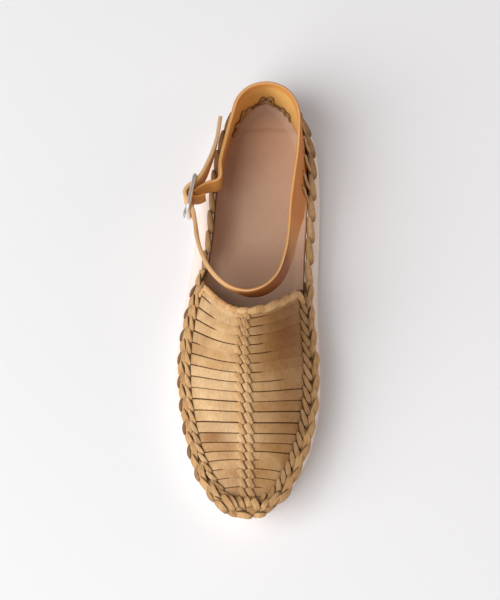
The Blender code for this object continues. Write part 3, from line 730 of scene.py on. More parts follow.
class ThongTree:
    """A Geometry Nodes tree that lays a thong along every line of a mesh."""

    corner_share = 0.42
    corner_points = 4
    oval_points = 14

    def __init__(self, section: Section) -> None:
        """Builds the tree.

        Args:
            section: The thong's cross section.
        """
        tree = bpy.data.node_groups.new(f"thong_{section.name.lower()}", "GeometryNodeTree")
        face = tree.interface
        face.new_socket("Lines", in_out="INPUT", socket_type="NodeSocketGeometry")
        for name in ("Width", "Thickness", "Corner", "Steepness"):
            face.new_socket(name, in_out="INPUT", socket_type="NodeSocketFloat")
        face.new_socket("Leather", in_out="INPUT", socket_type="NodeSocketMaterial")
        face.new_socket("Thongs", in_out="OUTPUT", socket_type="NodeSocketGeometry")
        given = add(tree, "NodeGroupInput").outputs
        kinds = {"face": "FLOAT_VECTOR", "swell": "FLOAT", "aside": "FLOAT", "lean": "FLOAT"}
        known = {
            name: add(tree, "GeometryNodeInputNamedAttribute", {"Name": name}, data_type=kind)
            for name, kind in kinds.items()
        }
        lines = add(tree, "GeometryNodeMeshToCurve", {"Mesh": given["Lines"]})
        facing = {"Curve": lines, "Normal": known["face"]}
        turned = add(tree, "GeometryNodeSetCurveNormal", facing, mode="FREE")
        profile = self._profile(tree, section, given)
        # Across the section, aside goes from -1 on one edge to 1 on the other
        place = add(tree, "GeometryNodeInputPosition")
        parts = add(tree, "ShaderNodeSeparateXYZ", {0: place})
        whole = add(tree, MATH, {0: parts.outputs[1], 1: given["Width"]}, operation="DIVIDE")
        aside = add(tree, MATH, {0: whole, 1: 2.0}, operation="MULTIPLY")
        # Along the thongs, the painted edge shade goes from 0 on the face to 1 on each shaded edge
        leaning = add(tree, MATH, {0: known["aside"], 1: known["lean"]}, operation="MULTIPLY")
        either = add(tree, MATH, {0: known["aside"]}, operation="ABSOLUTE")
        amount = add(tree, MATH, {0: known["lean"]}, operation="ABSOLUTE")
        rest = add(tree, MATH, {0: 1.0, 1: amount}, operation="SUBTRACT")
        both = add(tree, MATH, {0: either, 1: rest}, operation="MULTIPLY")
        most = add(tree, MATH, {0: leaning, 1: both}, operation="MAXIMUM")
        edge_shade = add(tree, MATH, {0: most, 1: given["Steepness"]}, operation="POWER")
        store = "GeometryNodeStoreNamedAttribute"
        marked = add(tree, store, {"Geometry": profile, "Name": "aside", "Value": aside})
        sweep = {"Curve": turned, "Profile Curve": marked, "Scale": known["swell"], "Fill Caps": True}
        swept = add(tree, "GeometryNodeCurveToMesh", sweep)
        edged = add(tree, store, {"Geometry": swept, "Name": "edge_shade", "Value": edge_shade})
        real = add(tree, "GeometryNodeRealizeInstances", {0: edged})
        dress = {"Geometry": real, "Material": given["Leather"]}
        add(tree, "NodeGroupOutput", {0: add(tree, "GeometryNodeSetMaterial", dress)})
        self.tree = tree
        sockets = [item for item in face.items_tree if item.in_out == "INPUT"]
        self.inputs = {item.name: item.identifier for item in sockets}

    def _profile(
        self, tree: bpy.types.NodeTree, section: Section, given: bpy.types.NodeOutputs
    ) -> bpy.types.Node:
        """Adds the nodes of the cross section and returns the last."""
        if section is Section.FLAT:
            sides = {"Width": given["Thickness"], "Height": given["Width"]}
            oblong = add(tree, "GeometryNodeCurvePrimitiveQuadrilateral", sides)
            corner = {"Curve": oblong, "Count": self.corner_points, "Radius": given["Corner"]}
            return add(tree, "GeometryNodeFilletCurve", corner, mode="POLY")
        circle = {"Resolution": self.oval_points, "Radius": 0.5}
        ring = add(tree, "GeometryNodeCurvePrimitiveCircle", circle)
        sides = {0: given["Thickness"], 1: given["Width"], 2: 1.0}
        size = add(tree, "ShaderNodeCombineXYZ", sides)
        return add(tree, "GeometryNodeTransform", {0: ring, "Scale": size})

    def lay(
        self,
        name: str,
        thongs: Sequence[Thong],
        size: tuple[float, float],
        material: bpy.types.Material,
        steepness: float = 3.0,
    ) -> bpy.types.Object:
        """Lays thongs of one size and turns them into a plain mesh.

        Args:
            name: The piece's name.
            thongs: Their paths and faces.
            size: Width and thickness in millimetres where the swell is 1.
            material: Their leather.
            steepness: How closely the painted shade on their edges keeps to the edge.

        Returns:
            The finished piece.
        """
        piece = put(name, self._lines(name, thongs))
        modifier = piece.modifiers.new("thong", "NODES")
        modifier.node_group = self.tree
        width, thickness = size
        modifier[self.inputs["Width"]] = width * MM
        modifier[self.inputs["Thickness"]] = thickness * MM
        modifier[self.inputs["Corner"]] = self.corner_share * thickness * MM
        modifier[self.inputs["Steepness"]] = steepness
        modifier[self.inputs["Leather"]] = material
        return freeze(piece)

    @staticmethod
    def _lines(name: str, thongs: Sequence[Thong]) -> bpy.types.Mesh:
        """A mesh of plain lines that carries the thongs' facts as attributes."""
        edges: list[tuple[int, int]] = []
        start = 0
        for thong in thongs:
            count = len(thong.path)
            edges += [(start + i, start + i + 1) for i in range(count - 1)]
            if thong.closed:
                edges.append((start + count - 1, start))
            start += count
        lines = bpy.data.meshes.new(name)
        places = (np.concatenate([thong.path for thong in thongs]) - CENTRE) * MM
        lines.from_pydata(places.tolist(), edges, [])
        facing = [across_path(thong.path, thong.face) for thong in thongs]
        face = lines.attributes.new("face", "FLOAT_VECTOR", "POINT")
        face.data.foreach_set("vector", np.concatenate(facing).ravel())
        for key in ("swell", "shade", "lean", "hollow", "stain_and_painted_light"):
            values = [np.broadcast_to(getattr(thong, key), len(thong.path)) for thong in thongs]
            mark(lines, key, np.concatenate(values))
        return lines


def put(name: str, data: Any) -> bpy.types.Object:
    """A new object of a mesh, light or camera, in the scene."""
    piece = bpy.data.objects.new(name, data)
    bpy.context.scene.collection.objects.link(piece)
    return piece


def mark(mesh: bpy.types.Mesh, name: str, values: np.ndarray) -> None:
    """Stores one value for each point of a mesh under a name."""
    attribute = mesh.attributes.new(name, "FLOAT", "POINT")
    attribute.data.foreach_set("value", values.reshape(-1).astype(np.float32))


def ring_faces(index: np.ndarray) -> list[list[int]]:
    """The faces between rings of points, given by their numbers."""
    turned = np.roll(index, -1, axis=1)
    sides = np.stack([index[:-1], turned[:-1], turned[1:], index[1:]], axis=-1)
    return sides.reshape(-1, 4).tolist()


def cap_faces(row: np.ndarray) -> list[list[int]]:
    """The faces that close a ring by pairing its halves."""
    back = row[::-1]
    return [[row[i], row[i + 1], back[i + 1], back[i]] for i in range(len(row) // 2 - 1)]


def freeze(piece: bpy.types.Object, sharp: float = 50.0) -> bpy.types.Object:
    """Turns a piece's modifiers into a plain mesh with its faces outwards.

    Args:
        piece: The piece, with its modifiers.
        sharp: Angle in degrees past which an edge is shaded sharp.

    Returns:
        The same piece, with no modifier left.
    """
    graph = bpy.context.evaluated_depsgraph_get()
    made = bpy.data.meshes.new_from_object(
        piece.evaluated_get(graph), preserve_all_data_layers=True, depsgraph=graph
    )
    made.name = piece.name
    piece.modifiers.clear()
    piece.data = made
    shell = bmesh.new()
    shell.from_mesh(made)
    bmesh.ops.recalc_face_normals(shell, faces=shell.faces)
    shell.to_mesh(made)
    shell.free()
    made.shade_smooth()
    made.set_sharp_from_angle(angle=math.radians(sharp))
    return piece


def skin(
    name: str,
    rings: np.ndarray,
    material: bpy.types.Material,
    marks: dict[str, np.ndarray] | None = None,
    sharp: float = 50.0,
) -> bpy.types.Object:
    """A closed solid through rings of points, capped by pairing the halves of its end rings.

    Args:
        name: The piece's name.
        rings: Rings by points by coordinates, in millimetres.
        material: The piece's finish.
        marks: An attribute's value for each ring and point, by name.
        sharp: Angle in degrees past which an edge is shaded sharp.

    Returns:
        The piece.
    """
    rows, count = rings.shape[:2]
    index = np.arange(rows * count).reshape(rows, count)
    faces = ring_faces(index) + cap_faces(index[0]) + cap_faces(index[-1])
    data = bpy.data.meshes.new(name)
    data.from_pydata(((rings.reshape(-1, 3) - CENTRE) * MM).tolist(), [], faces)
    for key, values in (marks or {}).items():
        mark(data, key, values)
    data.materials.append(material)
    return freeze(put(name, data), sharp)


def keep(piece: bpy.types.Object, node: str | None) -> bpy.types.Object:
    """Fixes a finished piece to the shoe.

    Args:
        piece: The piece.
        node: The solid that it stands for, if any.

    Returns:
        The piece.
    """
    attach(piece, "root")
    if node:
        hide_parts(node)
    LOG.info("%s: %d faces, for %s", piece.name, len(piece.data.polygons), node or "trim")
    return piece


@dataclass
class Sole:
    """The turned-up leather sole."""

    plan: Plan
    finishes: Finishes
    thickness: float = 4.2
    wall: float = 2.6
    lean: float = 2.2
    widest: float = 5.0
    rim_round: float = 0.6
    undercut_fade: int = 3
    pinch: float = 0.25
    pinch_pitch: float = 13.0
    hollow_rows: tuple[tuple[float, float], ...] = ((0.0, 4.0), (1.0, 2.0), (2.4, 0.7), (4.6, 0.0))
    raw_rim: float = 0.35

    def build(self) -> None:
        """Builds and dresses the sole."""
        plan = self.plan
        t = plan.stations(8)
        lift = plan.lift(plan.y(t))
        rim = plan.rim(t)
        flare = plan.flare(t)
        travel = lengths(plan.point(t, 0.0, 0.0))
        turns = round(travel[-1] / self.pinch_pitch)
        pinch = self.pinch * np.cos(2 * np.pi * turns * travel / travel[-1])
        waist = lift + self.widest
        inner = self.lean + self.wall
        # Inset, height and share of the flare: up the outside, over the rim and down the inside
        rows = [
            (8.5, lift, 1.0),
            (3.2, lift + 0.4, 1.0),
            (1.8, lift + 1.0, 1.0),
            (0.8, lift + 2.0, 1.0),
            (0.15, lift + 3.6, 1.0),
            (0.0, waist, 1.0),
            (0.35, waist + 0.25 * (rim - waist), 0.85),
            (0.9 + 0.5 * pinch, waist + 0.5 * (rim - waist), 0.65),
            (1.55 + 0.8 * pinch, waist + 0.75 * (rim - waist), 0.3),
            (self.lean + pinch, rim - self.rim_round, 0.0),
            (self.lean + 0.2 + pinch, rim - 0.2, 0.0),
            (self.lean + self.rim_round + pinch, rim, 0.0),
            (inner - self.rim_round, rim, 0.0),
            (inner, rim - self.rim_round, 0.0),
        ]
        rows += [(inner + i, lift + self.thickness + h, 0.0) for i, h in self.hollow_rows]
        fade = np.where(flare > 0, 1, self.undercut_fade)
        rings = np.stack([plan.point(t, i - share**fade * flare, z) for i, z, share in rows])
        raw = np.zeros(rings.shape[:2])
        over_rim = slice(9, 13)
        raw[over_rim] = self.raw_rim
        piece = skin("sole_boat", rings, self.finishes["sole"], {"hollow": raw})
        keep(piece, "sole")


@dataclass
class Insole:
    """The footbed, dished at its edge, with a shallow arc worn across the heel."""

    plan: Plan
    finishes: Finishes
    base: float = 4.6
    inner: float = 4.8
    under_rows: tuple[tuple[float, float], ...] = ((5.1, 0.0), (2.9, 0.7), (1.5, 2.0))
    over_rows: tuple[tuple[float, float], ...] = (
        (0.45, 4.6), (0.5, 5.6), (1.0, 6.0), (1.6, 5.6),
        (2.2, 4.5), (2.9, 3.6), (3.8, 2.9), (5.8, 2.2),
    )
    columns: int = 40
    arc_centre: tuple[float, float] = (6.5, 56.4)
    arc_radius: float = 47.5
    arc_depth: float = 0.3
    arc_width: float = 1.5
    arc_run: tuple[float, float] = (90.0, 96.0)
    # Painted shade: in the worn arc's crease, and along the lateral edge and under the vamp
    arc_shade: float = 0.6
    shade_depth: float = 0.42
    shade_side: tuple[float, float] = (-5.0, -13.0)
    shade_front: tuple[float, float] = (34.0, 18.0)

    def build(self) -> None:
        """Builds and dresses the footbed."""
        plan = self.plan
        t = plan.stations(12)
        lift = plan.lift(plan.y(t)) + self.base
        rows = self.under_rows + self.over_rows
        rings = np.stack([plan.point(t, self.inner + i, lift + h) for i, h in rows])
        data = self._bed(rings)
        data.materials.append(self.finishes["insole"])
        keep(freeze(put("insole_bed", data)), "insole")

    def _bed(self, rings: np.ndarray) -> bpy.types.Mesh:
        """The footbed's mesh: rings up to the top's edge, then a grid from side to side."""
        rows, count = rings.shape[:2]
        index = np.arange(rows * count).reshape(rows, count)
        faces = ring_faces(index) + cap_faces(index[0])
        half = count // 2
        left, right = rings[-1][:half], rings[-1][::-1][:half]
        share = np.linspace(0.0, 1.0, self.columns + 1)[1:-1, None, None]
        grid = left * (1 - share) + right * share
        grid[..., 2] -= self._wear(grid[..., 0], grid[..., 1])
        inside = rows * count + np.arange(grid.shape[0] * half).reshape(-1, half)
        lanes = np.concatenate([index[-1][None, :half], inside, index[-1][::-1][None, :half]])
        quads = np.stack([lanes[:-1, :-1], lanes[:-1, 1:], lanes[1:, 1:], lanes[1:, :-1]], axis=-1)
        faces += quads.reshape(-1, 4).tolist()
        faces += [lanes[:, 0].tolist(), lanes[:, -1].tolist()]
        points = np.concatenate([rings.reshape(-1, 3), grid.reshape(-1, 3)])
        data = bpy.data.meshes.new("insole_bed")
        data.from_pydata(((points - CENTRE) * MM).tolist(), [], faces)
        mark(data, "hollow", self._painted_shade(points[:, 0], points[:, 1]))
        return data

    def _wear(self, x: np.ndarray, y: np.ndarray) -> np.ndarray:
        """Depth of the worn arc across the heel."""
        reach = np.hypot(x - self.arc_centre[0], y - self.arc_centre[1]) - self.arc_radius
        behind = ramp(y, *self.arc_run)
        return self.arc_depth * behind * np.exp(-((reach / self.arc_width) ** 2))

    def _painted_shade(self, x: np.ndarray, y: np.ndarray) -> np.ndarray:
        """How dark the bed is painted: shade along its lateral edge, under the vamp and in the worn
        arc's crease.
        """
        dark = np.maximum(ramp(x, *self.shade_side), ramp(y, *self.shade_front))
        return self.shade_depth * dark + self.arc_shade * self._wear(x, y)


@dataclass(frozen=True)
class Rope:
    """Two thongs twisted round each other, in millimetres.

    Each shows as a leaf on top, crossing from one side to the other, and then passes under the
    other thong.  The longer it lingers on top, the longer the leaves.
    """

    size: tuple[float, float]
    reach: float
    rise: float
    linger: float
    thinnest: float
    start_shade: float
    depth: float
    face_turn: float = 0.55
    face_up: tuple[float, float] = (0.75, 0.45)
    fullness: tuple[float, float] = (0.35, 0.65)
    least_shade: float = 0.12
    tones: tuple[float, float] = (-0.2, 0.4)

    def twist(
        self,
        line: np.ndarray,
        normal: np.ndarray,
        turn: np.ndarray,
        size: np.ndarray,
        chance: np.random.Generator,
    ) -> list[Thong]:
        """Two thongs laid round a line.

        Args:
            line: The rope's middle.
            normal: The way up from what it lies on.
            turn: The first thong's turn at each point, in radians.
            size: Scale of the rope at each point.
            chance: Source of small differences between thongs.

        Returns:
            The thongs.
        """
        side = unit(np.cross(normal, unit(np.gradient(line, axis=0))))
        thongs = []
        for start in (0.0, np.pi):
            raw = turn + start
            angle = raw + self.linger * (np.cos(raw) - 1)
            across, up = -np.cos(angle), np.sin(angle)
            out = side * (self.reach * across * size)[:, None]
            path = line + out + normal * (self.rise * up * size)[:, None]
            looks_up = self.face_up[0] + self.face_up[1] * up
            face = side * (self.face_turn * across)[:, None] + normal * looks_up[:, None]
            full = self.fullness[0] + self.fullness[1] * up
            swell = size * (self.thinnest + (1 - self.thinnest) * full)
            # Painted shade where a thong passes under the other, lighter on the side where it starts
            hollow = np.clip(self.least_shade - self.depth * up, 0.0, 1.0)
            hollow *= np.interp(across, (-1.0, 0.2), (self.start_shade, 1.0))
            thongs.append(Thong(path, face, swell, chance.uniform(*self.tones), hollow))
        return thongs


@dataclass(frozen=True)
class Leaf:
    """One leaf of thong in a row of them, in millimetres.

    It starts on top, slants towards the medial side and dips under the next leaf. Painted shade
    darkens the end that dips under, and its edges.
    """

    size: tuple[float, float]
    slant: float
    dip: float
    point: float
    blunt: float = 0.12
    overlap: float = 0.1
    turn_up: float = 0.0
    lean: float = -1.0
    shadow: float = 0.18
    tip: float = 0.3
    darkest: float = 0.8
    slant_spread: float = 0.12
    face_spread: float = 0.08
    tones: tuple[float, float] = (-0.3, 0.6)

    def lay(
        self, line: np.ndarray, normal: np.ndarray, scale: Any, chance: np.random.Generator
    ) -> Thong:
        """Lays one leaf along a piece of the row's line.

        Args:
            line: Points from the leaf's start to its end, towards the toe.
            normal: The way up from what it lies on.
            scale: Its scale.
            chance: Source of small differences between leaves.

        Returns:
            The leaf.
        """
        share = np.linspace(0.0, 1.0, len(line))
        up = unit(normal + UP * self.turn_up)
        aside = unit(np.cross(up, np.gradient(line, axis=0)))
        slant = (self.slant + chance.normal(0.0, self.slant_spread)) * (share - 0.5)
        dip = self.dip * (0.5 - share)
        path = line + aside * (slant * scale)[:, None] + up * dip[:, None]
        narrow = np.minimum(share / self.point, (1 - share) / self.blunt)
        swell = scale * (self.tip + (1 - self.tip) * np.sqrt(np.clip(narrow, 0.0, 1.0)))
        face = up + aside * chance.normal(0.0, self.face_spread)
        # Painted shade on the end that dips under the next leaf
        hollow = self.darkest * np.clip(1 - (1 - share) / self.shadow, 0.0, 1.0)
        return Thong(path, face, swell, chance.uniform(*self.tones), hollow, lean=self.lean)


@dataclass
class Vamp:
    """The woven front: a backing, cross strips, twined ridges and rows, and a throat rope."""

    form: VampForm
    finishes: Finishes
    flat: ThongTree
    oval: ThongTree
    plan: Plan
    seed: int = 7
    wall: float = 2.0
    margin: float = 9.8
    backing_drop: float = 0.75
    strip: tuple[float, float] = (6.0, 1.3)
    strip_end: float = 2.4
    strip_points: int = 60
    lift_spread: float = 0.06
    tilt_spread: float = 0.04
    tones: tuple[float, float] = (-0.35, 0.5)
    closed_slit: float = -0.55
    last_slit: float = 0.1
    slit_run: float = 0.16
    slit_share: float = 0.85
    slit_past: float = 0.3
    lateral_taper: tuple[float, float] = (0.5, 0.95)
    medial_taper: float = 0.8
    open_from: int = 9
    # Painted light on the lateral strips where the lit side is brightest: middle strip, reach, amount
    lit_strips: tuple[float, float, float] = (10.0, 3.0, 0.5)
    ridge_offset: float = 2.1
    ridge_lift: float = 0.75
    ridge_room: float = 2.2
    ridge: Leaf = Leaf(
        (3.4, 1.4), slant=2.8, dip=0.4, point=0.1, blunt=0.1, overlap=0.2, shadow=0.02
    )
    ridge_shift: tuple[tuple[float, float], ...] = ((5.0, -1.2), (13.0, 0.0))
    # Share of the strips' stains and painted shade that the ridge and twine leaves take
    leaf_stain_and_shade: float = 0.6
    leaf_points: int = 22
    twine_offset: float = 2.7
    twine_lift: float = 1.9
    twine: Leaf = Leaf(
        (3.2, 1.0), slant=2.6, dip=1.0, point=0.5, blunt=0.25, overlap=0.25, turn_up=1.2
    )
    lateral_twine: float = 0.8
    medial_slant: float = 5.0
    cord: tuple[float, float] = (2.1, 1.9)
    cord_lift: float = 0.7
    # Painted shade: the cords are darkened to show as dark gaps between the leaves
    cord_shade: float = 0.9
    throat: Rope = Rope(
        (3.8, 2.2), reach=0.55, rise=0.55, linger=0.2, thinnest=0.62, start_shade=0.4, depth=0.1
    )
    throat_lift: float = 0.85
    throat_turn: tuple[float, float] = (0.84, 0.94)
    throat_points: int = 360
    throat_pitch: tuple[float, float] = (3.6, 10.0)
    throat_swell: tuple[float, float] = (0.85, 1.2)

    def build(self) -> None:
        """Builds and dresses the vamp's layers."""
        keep(self._backing(), "vamp")
        chance = np.random.default_rng(self.seed)
        strips = [self._strip(k, side, chance) for k in range(self.form.strips) for side in Side]
        ridges = [leaf for side in Side for leaf in self._ridge(side, chance)]
        twines = [leaf for side in Side for leaf in self._twine(side, chance)]
        # Name, tree, thongs, size, finish and how closely the painted shade on their edges keeps to
        # the edge
        layers = (
            ("vamp_strips", self.flat, strips, self.strip, "strip", 22.0),
            ("vamp_ridges", self.flat, ridges, self.ridge.size, "thong", 4.0),
            ("vamp_twines", self.flat, twines, self.twine.size, "thong", 5.0),
            ("twine_cords", self.oval, self._cords(), self.cord, "thong", 3.0),
            ("throat_rope", self.oval, self._throat(chance), self.throat.size, "thong", 90.0),
        )
        for name, tree, thongs, size, finish, edge in layers:
            piece = tree.lay(name, thongs, size, self.finishes[finish], edge)
            keep(piece, "vamp")

    def _backing(self) -> bpy.types.Object:
        """The wall behind the strips, from one margin in the sole to the other; its dark finish is
        painted shade showing through the slits.
        """
        form = self.form
        strip = np.linspace(0.0, form.strips - 0.001, 106)[:, None]
        across = np.sin(np.linspace(-np.pi / 2, np.pi / 2, 49))[None, :]
        face = form.point(strip, across)
        normal = form.normal(strip, across)
        outer = face - normal * self.backing_drop
        inner = face - normal * self.wall
        loops = []
        for layer in (outer, inner):
            feet = layer[:, [0, -1]].copy()
            feet[..., 2] = self.plan.lift(feet[..., 1]) + self.margin
            loops.append(np.concatenate([feet[:, :1], layer, feet[:, 1:]], axis=1))
        rings = np.concatenate([loops[0], loops[1][:, ::-1]], axis=1)
        return skin("vamp_backing", rings, self.finishes["backing"], sharp=60.0)

    def _slit(self, number: int, side: Side, share: np.ndarray) -> np.ndarray:
        """How far the slit before a strip stands open along its length.

        Args:
            number: The strip's place from the throat.
            side: Its side of the spine.
            share: Places from 0 at the spine to 1 at the rim.

        Returns:
            Openings in millimetres, negative where the strips overlap.
        """
        rows = [row for row in SLIT_ROWS if row[0] == number]
        if not rows:
            return np.full_like(share, self.last_slit)
        _, lateral_from, lateral_mm, medial_to, medial_mm = rows[0]
        if side is Side.LATERAL:
            begin, end, most = lateral_from, 1 + self.slit_past, lateral_mm
            taper = np.interp(share, (0.1, 0.9), self.lateral_taper)
        else:
            begin, end, most = -self.slit_past, medial_to, medial_mm
            end += self.slit_past * (medial_to >= 1)
            taper = self.medial_taper
        gate = np.clip(np.minimum(share - begin, end - share) / self.slit_run + 0.5, 0.0, 1.0)
        taper = np.maximum(taper, self.medial_taper * (number > self.open_from))
        open_mm = self.slit_share * most * taper
        return self.closed_slit + (open_mm - self.closed_slit) * smooth(gate)

    def _strip(self, number: int, side: Side, chance: np.random.Generator) -> Thong:
        """One cross strip of one side.

        Args:
            number: Its place from the throat.
            side: Its side of the spine.
            chance: Source of small differences between strips.

        Returns:
            The strip, from the spine to under the twined row.
        """
        form = self.form
        share = 1 - (1 - np.linspace(0.0, 1.0, self.strip_points)) ** 1.5
        strip = np.full_like(share, number + 0.5)
        across = form.rim_line(strip, side, self.strip_end) * share
        path, normal = form.above(strip, across, chance.normal(0.0, self.lift_spread))
        along = unit(np.gradient(path, axis=0))
        ahead = form.point(np.minimum(strip + 0.5, form.strips), across)
        pitch = ahead - form.point(np.maximum(strip - 0.5, 0.0), across)
        pitch -= along * np.sum(pitch * along, axis=1, keepdims=True)
        wide = np.linalg.norm(pitch, axis=1)
        before = self._slit(number, side, share)
        after = self._slit(number + 1, side, share)
        path += unit(pitch) * ((before - after) / 4)[:, None]
        tilt = np.cross(along, normal) * chance.normal(0.0, self.tilt_spread)
        swell = (wide - (before + after) / 2) / self.strip[0]
        # A random tone, with painted light on the lit lateral side
        shade = self._lit_patch(number, side) + chance.uniform(*self.tones)
        return Thong(path, normal + tilt, swell, shade, stain_and_painted_light=self._stain_and_shade(strip, across))

    def _lit_patch(self, number: int, side: Side) -> float:
        """How much paler a strip is painted where the lit lateral side is brightest: painted light.
        """
        middle, strips, most = self.lit_strips
        near = math.exp(-(((number - middle) / strips) ** 2))
        return most * near if side is Side.LATERAL else 0.0

    @staticmethod
    def _stain_and_shade(strip: np.ndarray, across: np.ndarray) -> np.ndarray:
        """How deeply the dark patches on the photographed vamp tint each place."""
        # Stains, and painted shade where the wide medial patches darken the slope away from the light
        tint = np.zeros_like(strip)
        for at_strip, at_across, strips, reach, depth in STAIN_AND_SHADE_ROWS:
            apart = ((strip - at_strip) / strips) ** 2 + ((across - at_across) / reach) ** 2
            tint = np.maximum(tint, depth * np.exp(-apart))
        return tint

    def _ridge(self, side: Side, chance: np.random.Generator) -> list[Thong]:
        """The ridge on one side of the spine, one leaf for each strip."""
        form = self.form
        leaves = []
        for number in range(form.strips):
            strip = np.linspace(number + 0.02, number + 1 + self.ridge.overlap, self.leaf_points)
            strip = np.minimum(strip, form.strips - 0.2)
            half = form.half_width(strip, side)
            across = form.offset_line(strip, side, self.ridge_offset)
            scale = np.minimum(1.0, np.abs(across) * half / self.ridge_room)
            across = across + np.interp(strip, *zip(*self.ridge_shift)) / half
            line, normal = form.above(strip, across, self.ridge_lift)
            leaf = self.ridge.lay(line, normal, scale, chance)
            leaf.stain_and_painted_light = self.leaf_stain_and_shade * self._stain_and_shade(strip, across)
            leaves.append(leaf)
        return leaves

    def _twine(self, side: Side, chance: np.random.Generator) -> list[Thong]:
        """The row of leaves that holds the strips' ends on one side."""
        form = self.form
        scale, leaf = 1.0, replace(self.twine, lean=0.0, slant=self.medial_slant)
        if side is Side.LATERAL:
            scale, leaf = self.lateral_twine, self.twine
        leaves = []
        for number in range(1, form.strips):
            strip = np.linspace(number - 0.1, number + 1 + self.twine.overlap, self.leaf_points)
            strip = np.minimum(strip, form.strips - 0.3)
            across = form.rim_line(strip, side, self.twine_offset)
            line, normal = form.above(strip, across, self.twine_lift)
            thong = leaf.lay(line, normal, scale, chance)
            thong.stain_and_painted_light = self.leaf_stain_and_shade * self._stain_and_shade(strip, across)
            leaves.append(thong)
        return leaves

    def _cords(self) -> list[Thong]:
        """The cord under each row of leaves, darkened as painted shade in the gaps between them."""
        strip = np.linspace(1.0, self.form.strips - 0.3, 160)
        cords = []
        for side in Side:
            across = self.form.rim_line(strip, side, self.twine_offset)
            path, normal = self.form.above(strip, across, self.cord_lift)
            cords.append(Thong(path, normal, hollow=self.cord_shade))
        return cords

    def _throat(self, chance: np.random.Generator) -> list[Thong]:
        """The rope along the throat's edge, turned down into the twined rows at both ends."""
        across = np.linspace(-self.throat_turn[1], self.throat_turn[1], self.throat_points)
        strip = 0.2 + 1.1 * ramp(np.abs(across), *self.throat_turn) ** 2
        line, normal = self.form.above(strip, across, self.throat_lift)
        steps = np.linalg.norm(np.diff(line, axis=0), axis=1)
        pitch = np.interp(across[1:], (-0.2, 0.3), self.throat_pitch)
        turns = np.concatenate([[0.0], np.cumsum(np.pi * steps / pitch)])
        size = np.interp(across, (-0.3, 0.3), self.throat_swell)
        return self.throat.twist(line, normal, turns, size, chance)


